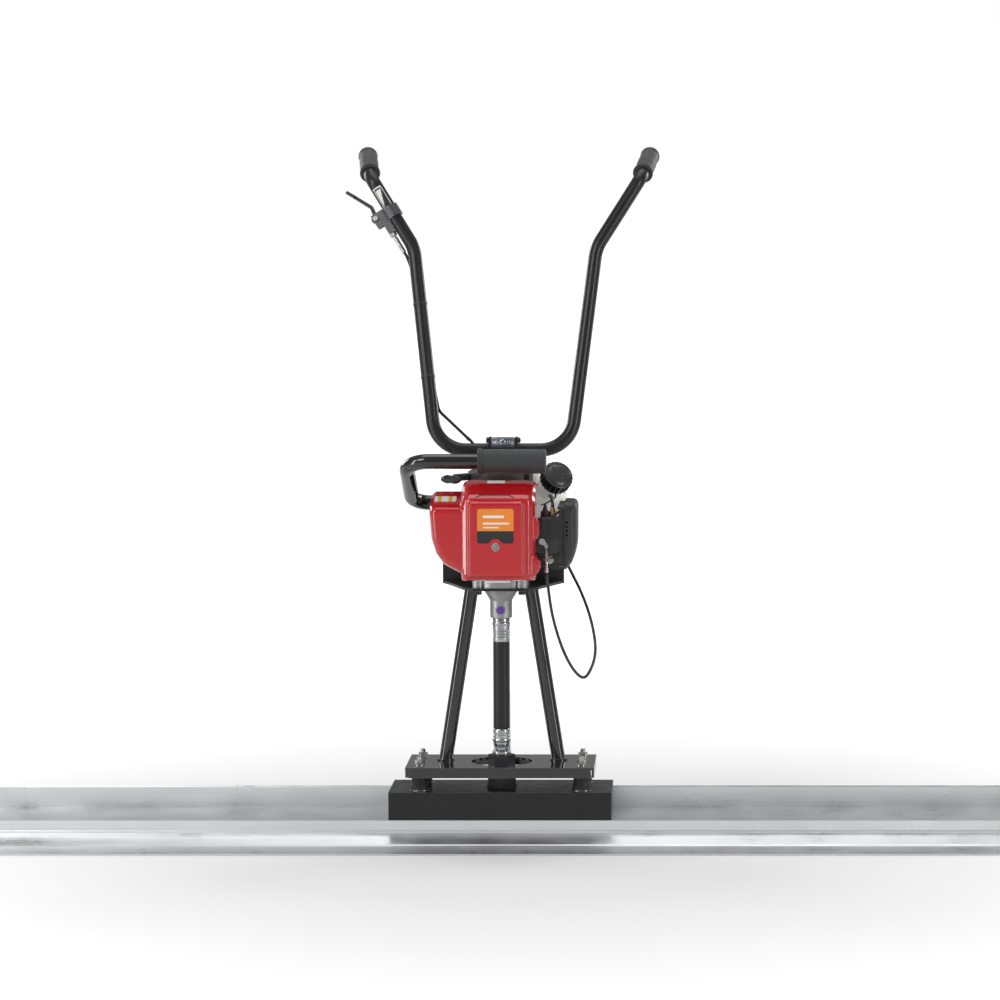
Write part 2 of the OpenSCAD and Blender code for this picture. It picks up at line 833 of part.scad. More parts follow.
// Screw that closes the slit collar of the bell
module collar_screw() {
    color([0.3, 0.2, 0.6]) translate([0, -19, 375]) rotate([90, 0, 0]) {
        translate([0, 0, -8]) cylinder(r = 3, h = 8.5);
        hex(11, 5);
    }
}

// ---------------------------------------------------------------- clutch

module clutch_drum() {
    color(zinc) difference() {
        union() {
            translate([0, 0, bracket_z + 7]) cylinder(r = drum_r, h = 14);
            translate([0, 0, 396]) cylinder(r = 6, h = bracket_z + 8 - 396);
            translate([0, 0, drum_bearing_z + 10.5])
                cylinder(r = 9, h = bracket_z + 7.5 - drum_bearing_z - 10.5);
            translate([0, 0, 386]) cylinder(r = 6, h = 12);
        }
        translate([0, 0, bracket_z + 10]) cylinder(r = drum_r - 3, h = 20);
        translate([-3.55, -3.55, 380]) cube([7.1, 7.1, 15]);
    }
}

module clutch_shoes() {
    color(grey) translate([0, 0, bracket_z + 12]) for (s = [0, 180]) rotate([0, 0, s])
        difference() {
            intersection() {
                cylinder(r = drum_r - 4, h = 10);
                block([-40, 2, 0], [40, 40, 10]);
            }
            translate([0, 0, -eps]) cylinder(r = 10, h = 20);
            translate([-17, 2, -eps]) cylinder(r = 3, h = 20);
            translate([17, 2, -eps]) cylinder(r = 3, h = 20);
        }
}

module clutch_housing() {
    color(alu) difference() {
        union() {
            translate([0, 0, bracket_top]) cylinder(r = 43, h = case_z0 - bracket_top);
            at_engine_bolts() translate([0, 0, bracket_top])
                cylinder(r = 9, h = case_z0 - bracket_top);
        }
        translate([0, 0, bracket_top - eps]) cylinder(r = drum_r + 1.2, h = 60);
        at_engine_bolts() translate([0, 0, bracket_top - eps]) cylinder(r = 3, h = 13);
    }
}

// ---------------------------------------------------------------- engine core

module crankcase() {
    color(alu) difference() {
        union() {
            block([-case_x, case_front, case_z0], [case_x, case_back, case_z1]);
            translate([-case_x, 8, case_z0 + 24]) rotate([0, -90, 0]) cylinder(r = 13, h = 8);
        }
        // crank chamber
        translate([0, 0, case_z0 + 14]) cylinder(r = 32, h = case_z1 - case_z0 - 28);
        // shaft bores at both ends
        translate([0, 0, case_z0 - eps]) cylinder(r = shaft_r + run_gap, h = 200);
        // mouth of the cylinder
        translate([0, 0, bore_z]) rotate([90, 0, 0]) cylinder(r = 20, h = 60);
        // oil filler
        translate([-case_x - 9, 8, case_z0 + 24]) rotate([0, 90, 0]) cylinder(r = 8, h = 24);
    }
}

module crankshaft() {
    web_r = 25;
    throw = 14;
    color(zinc) {
        translate([0, 0, bracket_z + 12]) cylinder(r = shaft_r, h = bore_z - 6 - bracket_z - 12);
        translate([0, 0, bore_z + 6]) cylinder(r = shaft_r, h = recoil_z - 2 - bore_z - 6);
        for (z = [bore_z - 16, bore_z + 6]) translate([0, 0, z]) cylinder(r = web_r, h = 10);
        translate([0, throw, bore_z - 7]) cylinder(r = 6, h = 14);
        // carrier of the clutch shoes
        translate([0, 0, bracket_z + 12]) cylinder(r = 9.5, h = 10);
    }
}

module flywheel() {
    blades = 12;
    color(alu) translate([0, 0, fan_z]) difference() {
        union() {
            cylinder(r = 36, h = 6);
            for (i = [0:blades - 1]) rotate([0, 0, i * 360 / blades])
                translate([22, -1.5, 5]) cube([22, 3, 11]);
        }
        translate([0, 0, -eps]) cylinder(r = shaft_r, h = 30);
    }
}

module blower_housing() {
    color(plastic) difference() {
        translate([0, 0, case_z1]) cylinder(r = 52, h = recoil_z - case_z1);
        translate([0, 0, case_z1 - eps]) cylinder(r = 48, h = 40);
    }
}

module cylinder_fins() {
    for (y = [case_front - 8:-8:head_y + 14])
        block([-40, y - 2.5, bore_z - 40], [40, y, bore_z + 40]);
}

module cylinder_block() {
    color(alu) difference() {
        union() {
            translate([0, case_front, bore_z]) rotate([90, 0, 0])
                cylinder(r = 26, h = case_front - head_y);
            cylinder_fins();
            // rocker cover
            block([-30, head_y, bore_z - 28], [30, head_y + 12, bore_z + 28]);
            // exhaust and intake ports
            block([-42, -82, bore_z - 12], [0, -60, bore_z + 12]);
            block([0, -82, bore_z - 12], [42, -60, bore_z + 12]);
        }
        translate([0, case_front + eps, bore_z]) rotate([90, 0, 0])
            cylinder(r = 19.5, h = case_front - head_y - 13);
        for (s = [-1, 1])
            translate([s * 19, -71, bore_z]) rotate([0, s * 90, 0]) cylinder(r = 7, h = 40);
        translate([-22, head_y + 22, bore_z + 20]) rotate([0, -20, 0])
            translate([0, 0, 5]) cylinder(r = 5, h = 60);
    }
}

module piston() {
    color(alu) translate([0, -60, bore_z]) rotate([90, 0, 0]) difference() {
        cylinder(r = 19.5 - run_gap, h = 24);
        translate([0, 0, -eps]) cylinder(r = 16, h = 20);
        for (z = [16, 20]) translate([0, 0, z]) ring(21, 18.3, 1.2);
    }
}

module spark_plug() {
    color([0.9, 0.9, 0.88])
        translate([-22, head_y + 22, bore_z + 20]) rotate([0, -20, 0]) {
            translate([0, 0, 6]) cylinder(r = 5 - run_gap, h = 20);
            translate([0, 0, 26]) hex(14, 6);
            translate([0, 0, 32]) cylinder(r = 4, h = 12);
        }
}

muffler_x = -90;                        // outer face of the muffler
module muffler() {
    color(zinc) difference() {
        union() {
            round_block([muffler_x, -108, bore_z - 36], [-50, -30, bore_z + 34], 8);
            block([-51, -80, bore_z - 10], [-42, -62, bore_z + 10]);
        }
        block([muffler_x + 3, -105, bore_z - 33], [-53, -33, bore_z + 31]);
        translate([-54, -71, bore_z]) rotate([0, 90, 0]) cylinder(r = 7, h = 20);
        translate([-72, -31, bore_z - 20]) rotate([-90, 0, 0]) cylinder(r = 6, h = 10);
    }
}

// ---------------------------------------------------------------- covers

// Outer form of the red cover, or with inset its inner form
module cover_form(inset) {
    i = inset;
    // main body over the cylinder head
    intersection() {
        along_y(cover_front + i, -50)
            rounded([-58 + i, cover_z0 + i], [70 - i, 585 - i], 16 - i);
        along_x(-60, 80)
            rounded([cover_front + i, cover_z0 + i], [0, 585 - i], 22 - i);
    }
    // lower shoulder over the muffler
    intersection() {
        along_y(-124 + i, -50)
            rounded([-114 + i, 455 + i], [-30, 552 - i], 20 - i);
        along_x(-120, -30)
            rounded([-124 + i, 455 + i], [0, 552 - i], 22 - i);
    }
}

module top_cover() {
    color(red) difference() {
        cover_form(0);
        cover_form(3);
        // open back
        block([-130, -56, 400], [90, 10, 640]);
        // opening on the intake side
        block([44, -108, 455], [90, 0, 560]);
        // cooling slots
        block([-28, cover_front - 5, 566], [28, cover_front + 12, 569]);
        // screw hole
        translate([0, cover_front - 5, 487.5]) rotate([-90, 0, 0]) cylinder(r = 2.6, h = 16);
    }
}

module cover_screw() {
    color(zinc) translate([0, cover_front, 487.5]) rotate([90, 0, 0]) {
        translate([0, 0, -19.9]) cylinder(r = 2.5, h = 20);
        cylinder(r = 5.5, h = 3);
    }
}

module recoil_cover() {
    color(plastic) difference() {
        union() {
            translate([0, 0, recoil_z]) cylinder(r = recoil_r, h = recoil_h - 3);
            translate([0, 0, recoil_z + recoil_h - 3])
                cylinder(r1 = recoil_r, r2 = recoil_r - 5, h = 3);
            // rope outlet
            at_rope() block([-26, -8, -5], [8, 8, 5]);
        }
        translate([0, 0, recoil_z - eps]) cylinder(r = recoil_r - 4, h = recoil_h - 2);
        // rope hole
        at_rope() translate([-40, 0, 0]) rotate([0, 90, 0]) cylinder(r = 2.2, h = 60);
        // air slots
        for (a = [0:30:330]) rotate([0, 0, a])
            block([28, -2, recoil_z], [42, 2, recoil_z + 40]);
    }
    // post of the pulley
    color(plastic) translate([0, 0, recoil_z + recoil_h - 4]) mirror([0, 0, 1])
        cylinder(r = 5, h = 10);
}

pulley_r = 30;
module recoil_pulley() {
    color(plastic) translate([0, 0, recoil_z]) difference() {
        union() {
            cylinder(r = pulley_r + 4, h = 2);
            cylinder(r = pulley_r - 6, h = 9);
            translate([0, 0, 8]) cylinder(r = pulley_r + 4, h = 2);
        }
        translate([0, 0, -eps]) cylinder(r = 5 + run_gap, h = 20);
    }
}

// Starter rope: leaves the pulley along a tangent, to the front and left, so that a pull
// passes in front of the lifting handle. The local +X axis is the pull direction.
rope_z = recoil_z + 5;
rope_angle = 233.13;
rope_d = 3.6;
grip_at = 19;                           // distance from the outlet to the grip's bar
module at_rope() {
    translate([0, 0, rope_z]) rotate([0, 0, rope_angle])
        translate([62, -pulley_r - rope_d / 2, 0]) children();
}

module starter_rope() {
    color(black) at_rope() translate([-62, 0, 0]) rotate([0, 90, 0])
        cylinder(d = rope_d, h = 62 + grip_at - 1);
}

// Grip at the end of the starter rope, seated against the rope outlet
module starter_grip() {
    color(black) at_rope() difference() {
        union() {
            translate([8.3, 0, -2]) rotate([0, 90, 0]) cylinder(r = 6.5, h = grip_at - 6);
            translate([grip_at, 0, -2]) rotate([90, 0, 0])
                cylinder(r = 7, h = 32, center = true);
        }
        rotate([0, 90, 0]) cylinder(d = rope_d, h = grip_at - 1);
    }
}

// ---------------------------------------------------------------- fuel and air

carb_x0 = 56;
carb_x1 = 96;
carb_y = -71;
primer_y = carb_y + 6;

module carburettor() {
    color(plastic) difference() {
        union() {
            // insulator block
            block([42, carb_y - 14, bore_z - 16], [carb_x0, carb_y + 14, bore_z + 16]);
            block([carb_x0, carb_y - 20, bore_z - 28], [carb_x1, carb_y + 18, bore_z + 24]);
            translate([76, carb_y, bore_z + 24]) cylinder(r = 9, h = 12);
            // seat of the primer bulb
            translate([80, primer_y, bore_z - 34]) cylinder(r = 12, h = 7);
        }
        translate([41, carb_y, bore_z]) rotate([0, 90, 0]) cylinder(r = 7, h = 80);
        // spindle of the throttle arm
        translate([throttle_x, carb_y - 21, throttle_z]) rotate([-90, 0, 0])
            cylinder(r = 2.5 + run_gap, h = 12);
        // spindle of the choke lever
        translate([choke_x, carb_y - 21, choke_z]) rotate([-90, 0, 0])
            cylinder(r = 2.5 + run_gap, h = 12);
        translate([80, primer_y, bore_z - 40]) cylinder(r = 7, h = 12);
    }
}

throttle_x = 70;
throttle_z = bore_z - 10;
choke_x = 88;
choke_z = bore_z + 12;

module throttle_arm() {
    color(zinc) translate([throttle_x, carb_y - 20, throttle_z]) rotate([90, 0, 0]) {
        translate([0, 0, -8]) cylinder(r = 2.5, h = 12);
        translate([0, 0, 1]) cylinder(r = 5, h = 3);
        translate([0, 0, 1]) linear_extrude(3) polygon([[-3, 3], [3, 3], [10, -7], [5, -10]]);
    }
}

module choke_lever() {
    color(black) translate([choke_x, carb_y - 20, choke_z]) rotate([90, 0, 0]) {
        translate([0, 0, -8]) cylinder(r = 2.5, h = 12);
        translate([0, 0, 1]) cylinder(r = 6, h = 3);
        translate([0, 0, 1]) linear_extrude(3) polygon([[-6, 0], [6, 0], [4, 20], [-4, 20]]);
    }
}

module primer_bulb() {
    color([0.75, 0.2, 0.15]) translate([80, primer_y, bore_z - 34]) {
        mirror([0, 0, 1]) cylinder(r = 6.5, h = 5);
        translate([0, 0, -5]) intersection() {
            sphere(r = 9);
            mirror([0, 0, 1]) cylinder(r = 9, h = 9);
        }
    }
}

air_x0 = 96;
air_x1 = 125;
air_y0 = -96;
air_y1 = 4;
air_z0 = 447;
air_z1 = 555;

module air_cleaner_base() {
    color(plastic) difference() {
        round_block_x([air_x0, air_y0 + 4, air_z0 + 4], [air_x0 + 9, air_y1 - 4, air_z1 - 4], 14);
        translate([air_x0 - eps, carb_y, bore_z]) rotate([0, 90, 0]) cylinder(r = 7, h = 40);
        translate([air_x0 + 4, air_y0 + 14, air_z0 + 18])
            cube([10, air_y1 - air_y0 - 28, air_z1 - air_z0 - 36]);
    }
}

// Block with rounded edges along X
module round_block_x(a, b, r) {
    hull() for (y = [a.y + r, b.y - r], z = [a.z + r, b.z - r])
        translate([a.x, y, z]) rotate([0, 90, 0]) cylinder(r = r, h = b.x - a.x, $fn = 32);
}

module air_cleaner_cover() {
    t = 2.5;
    color(plastic) difference() {
        hull() {
            for (y = [air_y0 + 16, air_y1 - 16]) {
                translate([air_x0 + 9.1, y, air_z1 - 16]) rotate([0, 90, 0])
                    cylinder(r = 16, h = air_x1 - air_x0 - 9.1, $fn = 32);
                translate([air_x0 + 9.1, y, air_z0 + 16]) rotate([0, 90, 0])
                    cylinder(r = 16, h = 4, $fn = 32);
                translate([air_x0 + 9.1, y, air_z0 + 54]) rotate([0, 90, 0])
                    cylinder(r = 16, h = air_x1 - air_x0 - 9.1, $fn = 32);
            }
        }
        block([air_x0 + 9, air_y0 + 12, air_z0 + 40], [air_x1 - t, air_y1 - 12, air_z1 - 12]);
    }
}

module air_filter() {
    color([0.3, 0.3, 0.28])
        block([air_x0 + 10, air_y0 + 16, air_z0 + 44], [air_x1 - 6, air_y1 - 16, air_z1 - 18]);
}

// ---------------------------------------------------------------- tank and caps

cap_at = [88, 15, 584];
cap_dir = unit([0.36, -0.72, 0.52]);
tank_t = 2;

module tank_block(x0, x1, z0, z1, y0, y1, r) {
    hull() for (x = [x0 + r, x1 - r], z = [z0 + r, z1 - r])
        translate([x, y1, z]) rotate([90, 0, 0]) cylinder(r = r, h = y1 - y0, $fn = 32);
}

module fuel_tank() {
    t = tank_t;
    hollow_r = recoil_r + 1.5;          // recess that clears the blower and the starter
    color([0.93, 0.92, 0.88]) difference() {
        union() {
            tank_block(-36, 104, 438, 596, case_back + 2, wall_y - 1, 8);
            translate(cap_at - cap_dir * 30) aim(cap_dir) cylinder(r = 19, h = 27);
        }
        difference() {
            tank_block(-36 + t, 104 - t, 438 + t, 596 - t, case_back + 2 + t, wall_y - 1 - t, 6);
            translate([0, 0, case_z1 - 2 - t]) cylinder(r = hollow_r + t, h = 60);
        }
        translate([0, 0, case_z1 - 2]) cylinder(r = hollow_r, h = 60);
        translate(cap_at - cap_dir * 40) aim(cap_dir) cylinder(r = 15, h = 60);
    }
}

// Fluted cap that screws over the filler neck
module fuel_cap() {
    color(black) translate(cap_at - cap_dir * 7) aim(cap_dir) difference() {
        union() {
            cylinder(r = 25, h = 21);
            for (a = [0:20:340]) rotate([0, 0, a]) translate([25, 0, 0]) cylinder(r = 1.6, h = 20);
        }
        translate([0, 0, -eps]) cylinder(r = 19.2, h = 15);
    }
}

module oil_cap() {
    color(plastic) translate([-case_x - 8, 8, case_z0 + 24]) rotate([0, -90, 0]) {
        translate([0, 0, -18]) cylinder(r = 8 - run_gap, h = 18);
        difference() {
            cylinder(r = 13, h = 9);
            for (a = [0:45:315]) rotate([0, 0, a]) translate([14, 0, 2]) cylinder(r = 2.6, h = 20);
        }
    }
}

screed_board();
board_bolts();
vibrator_box();
exciter_housing();
exciter_cap();
ball_bearings();
eccentric_shaft();
coupling_nut();
isolators();
isolator_fasteners();
base_plate();
leg_left();
leg_right();
leg_rear();
engine_bracket();
clamp_saddle();
hex_bolts();
handlebar();
grip_left();
grip_right();
lifting_handle();
lifting_grip();
throttle_bracket();
throttle_lever();
lever_screw();
cable_adjuster();
throttle_cable_upper();
throttle_cable_lower();
drive_hose();
hose_ferrules();
flex_core();
adapter_bell();
collar_screw();
clutch_drum();
clutch_shoes();
clutch_housing();
crankcase();
crankshaft();
flywheel();
blower_housing();
cylinder_block();  // cylinder
piston();
spark_plug();
muffler();
top_cover();
cover_screw();
recoil_cover();
recoil_pulley();
starter_rope();
starter_grip();
carburettor();
throttle_arm();
choke_lever();
primer_bulb();
air_cleaner_base();
air_cleaner_cover();
air_filter();
fuel_tank();
fuel_cap();
oil_cap();
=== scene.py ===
import bpy
import bmesh
import json
import math
from mathutils import Matrix, Vector


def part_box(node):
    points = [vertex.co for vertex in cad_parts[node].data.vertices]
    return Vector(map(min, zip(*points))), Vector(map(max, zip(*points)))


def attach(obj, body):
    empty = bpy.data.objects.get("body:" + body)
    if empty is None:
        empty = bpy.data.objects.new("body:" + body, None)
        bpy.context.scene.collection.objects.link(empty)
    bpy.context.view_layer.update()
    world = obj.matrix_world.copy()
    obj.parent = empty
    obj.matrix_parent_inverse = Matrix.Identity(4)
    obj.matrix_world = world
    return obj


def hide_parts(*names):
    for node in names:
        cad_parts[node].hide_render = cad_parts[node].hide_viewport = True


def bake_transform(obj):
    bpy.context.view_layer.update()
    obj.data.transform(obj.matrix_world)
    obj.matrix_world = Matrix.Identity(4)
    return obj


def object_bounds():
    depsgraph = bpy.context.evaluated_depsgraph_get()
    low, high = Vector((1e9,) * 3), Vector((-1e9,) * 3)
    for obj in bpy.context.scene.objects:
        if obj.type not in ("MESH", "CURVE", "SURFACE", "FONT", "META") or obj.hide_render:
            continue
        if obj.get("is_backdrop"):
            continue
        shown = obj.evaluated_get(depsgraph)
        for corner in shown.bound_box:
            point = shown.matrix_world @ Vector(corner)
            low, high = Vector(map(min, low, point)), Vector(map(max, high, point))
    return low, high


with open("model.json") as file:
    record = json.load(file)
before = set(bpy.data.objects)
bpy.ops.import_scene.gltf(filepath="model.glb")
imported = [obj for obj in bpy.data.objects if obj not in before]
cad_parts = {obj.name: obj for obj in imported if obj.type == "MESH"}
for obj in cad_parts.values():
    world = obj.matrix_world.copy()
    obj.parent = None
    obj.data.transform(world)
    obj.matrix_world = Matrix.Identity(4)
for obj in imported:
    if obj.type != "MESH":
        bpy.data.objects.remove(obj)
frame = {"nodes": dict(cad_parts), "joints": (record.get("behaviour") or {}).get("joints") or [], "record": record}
CAD_LO, CAD_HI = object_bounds()
NODES = frame["nodes"]
JOINTS = {j["name"]: j for j in frame["joints"]}
MM = 0.001
# corners of each CAD part in mm
BOX = {n: [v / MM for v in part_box(n)] for n in NODES}


def mid(node):
    lo, hi = BOX[node]
    return (lo + hi) / 2


# ---------------------------------------- materials

class Tree:
    """Adds and links the nodes of one shader."""

    def __init__(self, name):
        self.mat = bpy.data.materials.new(name)
        self.mat.use_nodes = True
        self.nt = self.mat.node_tree
        self.bsdf = self.nt.nodes["Principled BSDF"]
        self.coord = self.nt.nodes.new("ShaderNodeTexCoord").outputs["Object"]

    def feed(self, socket, v):
        """Links an output to an input socket, or sets the value there."""
        if isinstance(v, bpy.types.NodeSocket):
            self.nt.links.new(v, socket)
        else:
            socket.default_value = v

    def put(self, kind, inputs=None, **props):
        n = self.nt.nodes.new(kind)
        for k, v in props.items():
            setattr(n, k, v)
        for k, v in (inputs or {}).items():
            self.feed(n.inputs[k], v)
        return n

    def set(self, name, v):
        self.feed(self.bsdf.inputs[name], v)

    def stretched(self, s):
        return self.put("ShaderNodeMapping", {"Vector": self.coord, "Scale": s}).outputs[0]

    def linked(self, name):
        """What feeds an input of the shader now."""
        return self.bsdf.inputs[name].links[0].from_socket

    def axis(self, name):
        return self.put("ShaderNodeSeparateXYZ", {0: self.coord}).outputs[name]

    def noise(self, scale, detail=4, vector=None):
        return self.put("ShaderNodeTexNoise", {"Vector": vector or self.coord, "Scale": scale,
                                               "Detail": detail, "Roughness": 0.55}).outputs["Fac"]

    def voronoi(self, scale, out="Distance"):
        return self.put("ShaderNodeTexVoronoi", {"Vector": self.coord, "Scale": scale}).outputs[out]

    def ramp(self, fac, lo, hi, a=0.0, b=1.0):
        return self.put("ShaderNodeMapRange", {"Value": fac, "From Min": lo, "From Max": hi,
                                               "To Min": a, "To Max": b}).outputs[0]

    def math(self, op, a, b=0.0):
        return self.put("ShaderNodeMath", {0: a, 1: b}, operation=op).outputs[0]

    def mix(self, fac, a, b):
        a, b = (v if isinstance(v, bpy.types.NodeSocket) else (*v, 1) for v in (a, b))
        return self.put("ShaderNodeMix", {0: fac, 6: a, 7: b}, data_type="RGBA").outputs[2]

    def between(self, v, lo, hi):
        return self.math("MULTIPLY", self.math("GREATER_THAN", v, lo), self.math("LESS_THAN", v, hi))

    def bump(self, height, strength, dist=0.001):
        self.set("Normal", self.put("ShaderNodeBump", {"Height": height, "Strength": strength,
                                                       "Distance": dist}).outputs[0])

    def edge(self, radius):
        """1 on convex edges, 0 on flat ground, broken up by noise."""
        bev = self.put("ShaderNodeBevel", {"Radius": radius}, samples=4).outputs[0]
        geo = self.put("ShaderNodeNewGeometry").outputs["Normal"]
        dot = self.put("ShaderNodeVectorMath", {0: bev, 1: geo}, operation="DOT_PRODUCT").outputs["Value"]
        worn = self.ramp(self.math("SUBTRACT", 1.0, dot), 0.02, 0.35)
        return self.math("MULTIPLY", worn, self.ramp(self.noise(420, 5), 0.42, 0.62))


def shade(c, k):
    return tuple(min(1.0, x * k) for x in c)


def surface(name, color, rough, metal=0.0, var=0.12, rvar=0.08, grain=900, depth=0.12, dist=0.0004,
            stretch=None, coat=0.0, coat_rough=0.08, spec=0.5, dust=0.0, edge=None, cloud=18):
    """Shader with soft clouds, fine grain, dust on upward faces and bare metal on worn edges."""
    t = Tree(name)
    vec = t.stretched(stretch) if stretch else t.coord
    big = t.noise(cloud, 3)
    fine = t.noise(grain, 5, vec)
    col = t.mix(t.ramp(big, 0.3, 0.7), shade(color, 1 - var), shade(color, 1 + var))
    col = t.mix(t.ramp(fine, 0.35, 0.65, 0, 0.5), col, shade(color, 1 + 2 * var))
    r = t.ramp(t.noise(cloud * 3, 4), 0.3, 0.7, max(0.02, rough - rvar), rough + rvar)
    r = t.math("ADD", r, t.ramp(fine, 0.35, 0.65, -rvar / 2, rvar / 2))
    m = metal
    if dust:
        geo = t.put("ShaderNodeNewGeometry").outputs["Normal"]
        up = t.put("ShaderNodeSeparateXYZ", {0: geo}).outputs["Z"]
        d = t.math("MULTIPLY", t.ramp(up, 0.35, 1.0, 0, dust), t.ramp(t.noise(60, 6), 0.4, 0.7))
        col = t.mix(d, col, (0.42, 0.40, 0.37))
        r = t.math("ADD", r, t.math("MULTIPLY", d, 0.5))
    if edge:
        e = t.edge(0.0012)
        col = t.mix(e, col, edge)
        m = t.ramp(e, 0, 1, metal, 1.0)
        r = t.math("ADD", r, t.math("MULTIPLY", e, 0.35 - rough))
    t.set("Base Color", col)
    t.set("Roughness", r)
    t.set("Metallic", m)
    t.set("Specular IOR Level", spec)
    t.set("Coat Weight", coat)
    t.set("Coat Roughness", coat_rough)
    if depth:
        t.bump(fine, depth, dist)
    return t


STEEL = (0.42, 0.42, 0.43)
# name, colour, roughness, metal, colour and roughness spread, grain scale, bump strength and depth
LOOKS = {
    "board_alloy": (("mill_aluminium", (0.86, 0.87, 0.89), 0.33, 1.0, 0.05, 0.07, 260, 0.10, 0.0003),
                    {"stretch": (0.02, 1, 1), "cloud": 5}),
    "black_paint": (("satin_black_coat", (0.013, 0.013, 0.014), 0.34, 0.0, 0.2, 0.07, 1500, 0.12, 0.0003),
                    {"coat": 0.15, "spec": 0.3, "edge": STEEL, "dust": 0.03}),
    "black_gloss": (("gloss_black_coat", (0.010, 0.010, 0.011), 0.16, 0.0, 0.2, 0.05, 900, 0.06, 0.0003),
                    {"coat": 0.6, "coat_rough": 0.06, "edge": STEEL, "dust": 0.02}),
    "black_oxide": (("black_oxide_steel", (0.045, 0.045, 0.05), 0.42, 0.7, 0.2, 0.1, 1400, 0.2, 0.0002),
                    {"edge": STEEL}),
    "exciter_cast": (("exciter_casting", (0.07, 0.07, 0.073), 0.62, 0.3, 0.2, 0.08, 1100, 0.5, 0.0006),
                     {"edge": STEEL}),
    "bearing_steel": (("ground_steel", (0.62, 0.62, 0.63), 0.22, 1.0, 0.05, 0.06, 700, 0.05, 0.0002),
                      {"stretch": (1, 1, 8)}),
    "dark_steel": (("machined_steel", (0.33, 0.33, 0.34), 0.38, 1.0, 0.1, 0.08, 600, 0.15, 0.0002),
                   {"stretch": (1, 1, 10)}),
    "isolator_rubber": (("isolator_rubber", (0.016, 0.016, 0.017), 0.62, 0.0, 0.25, 0.1, 1300, 0.3, 0.0004),
                        {"dust": 0.25}),
    "hose_rubber": (("hose_rubber", (0.014, 0.014, 0.015), 0.36, 0.0, 0.25, 0.08, 1600, 0.22, 0.0003),
                    {"coat": 0.1, "coat_rough": 0.3, "spec": 0.35}),
    "cable_sheath": (("cable_sheath", (0.012, 0.012, 0.012), 0.33, 0.0, 0.2, 0.08, 1500, 0.1, 0.0002),
                     {"coat": 0.2}),
    "control_alloy": (("control_casting", (0.11, 0.11, 0.115), 0.45, 0.75, 0.15, 0.1, 1300, 0.35, 0.0004),
                      {"edge": (0.6, 0.6, 0.6)}),
    "black_plastic": (("black_moulding", (0.020, 0.020, 0.021), 0.42, 0.0, 0.18, 0.07, 2200, 0.25, 0.0003),
                      {"dust": 0.04}),
    "grey_plastic": (("textured_grey_moulding", (0.085, 0.09, 0.093), 0.48, 0.0, 0.12, 0.06, 2400, 0.4,
                      0.0004), {"dust": 0.05}),
    "cap_plastic": (("cap_moulding", (0.030, 0.031, 0.033), 0.34, 0.0, 0.18, 0.07, 1900, 0.18, 0.0003),
                    {"coat": 0.2, "dust": 0.05}),
    "dark_cast": (("dark_casting", (0.055, 0.055, 0.058), 0.55, 0.55, 0.25, 0.1, 1000, 0.5, 0.0005),
                  {"edge": STEEL}),
    "purple_bolt": (("purple_anodised", (0.16, 0.07, 0.40), 0.28, 0.6, 0.15, 0.08, 1200, 0.1, 0.0002), {}),
    "control_black": (("lever_black", (0.03, 0.03, 0.032), 0.38, 0.4, 0.2, 0.08, 1200, 0.15, 0.0002),
                      {"edge": STEEL}),
    # painted shade: near-black for the shade in a groove
    "painted_groove_shade": (("painted_groove_shade_black", (0.004, 0.004, 0.004), 0.8, 0.0, 0.2, 0.05, 800, 0.2, 0.0004), {}),
    "brass": (("brass", (0.72, 0.52, 0.22), 0.30, 1.0, 0.1, 0.08, 800, 0.1, 0.0002), {}),
    "plug_ceramic": (("glazed_ceramic", (0.86, 0.85, 0.82), 0.12, 0.0, 0.03, 0.04, 600, 0.03, 0.0004),
                     {"coat": 0.5}),
    "pale_label": (("weathered_label_white", (0.72, 0.72, 0.70), 0.5, 0.0, 0.05, 0.08, 500, 0.05, 0.0004),
                   {}),
}
M = {slot: surface(*args, **extra).mat for slot, (args, extra) in LOOKS.items()}


def zinc(name, color, rough, spangle):
    t = surface(name, color, rough, 1.0, 0.06, 0.08, 900, 0.10, 0.0002)
    tone = t.put("ShaderNodeSeparateXYZ", {0: t.voronoi(240, "Color")}).outputs["X"]
    t.set("Base Color", t.mix(t.ramp(tone, 0, 1, 0, spangle), t.linked("Base Color"), shade(color, 0.6)))
    return t.mat


M["zinc"] = zinc("zinc_plate", (0.50, 0.50, 0.48), 0.32, 0.25)
M["bright_zinc"] = zinc("bright_zinc_plate", (0.62, 0.67, 0.76), 0.20, 0.35)
M["ferrule_zinc"] = zinc("ferrule_plate", (0.46, 0.47, 0.48), 0.27, 0.2)


def cast_alloy():
    t = surface("sand_cast_alloy", (0.40, 0.405, 0.41), 0.42, 1.0, 0.10, 0.10, 650, 0.0)
    pits = t.ramp(t.voronoi(1500), 0.0, 0.35)
    lumps = t.noise(350, 5)
    t.bump(t.math("ADD", t.math("MULTIPLY", pits, 0.5), lumps), 0.45, 0.0006)
    grime = t.math("MULTIPLY", t.ramp(t.noise(45, 6), 0.52, 0.72), 0.35)
    t.set("Base Color", t.mix(grime, t.linked("Base Color"), (0.12, 0.11, 0.10)))
    return t.mat


M["cast_alloy"] = cast_alloy()


def red_gloss():
    t = surface("red_gloss_moulding", (0.47, 0.007, 0.012), 0.17, 0.0, 0.06, 0.04, 500, 0.0,
                coat=0.7, coat_rough=0.05)
    orange_peel = t.noise(260, 2)
    fine = t.noise(2600, 2)
    scratches = t.noise(180, 6, t.stretched((1, 8, 0.6)))
    t.bump(t.math("ADD", orange_peel, t.math("MULTIPLY", fine, 0.12)), 0.05, 0.0006)
    t.set("Roughness", t.math("ADD", t.linked("Roughness"), t.ramp(scratches, 0.6, 0.75, 0, 0.10)))
    return t.mat


M["red_cover"] = red_gloss()


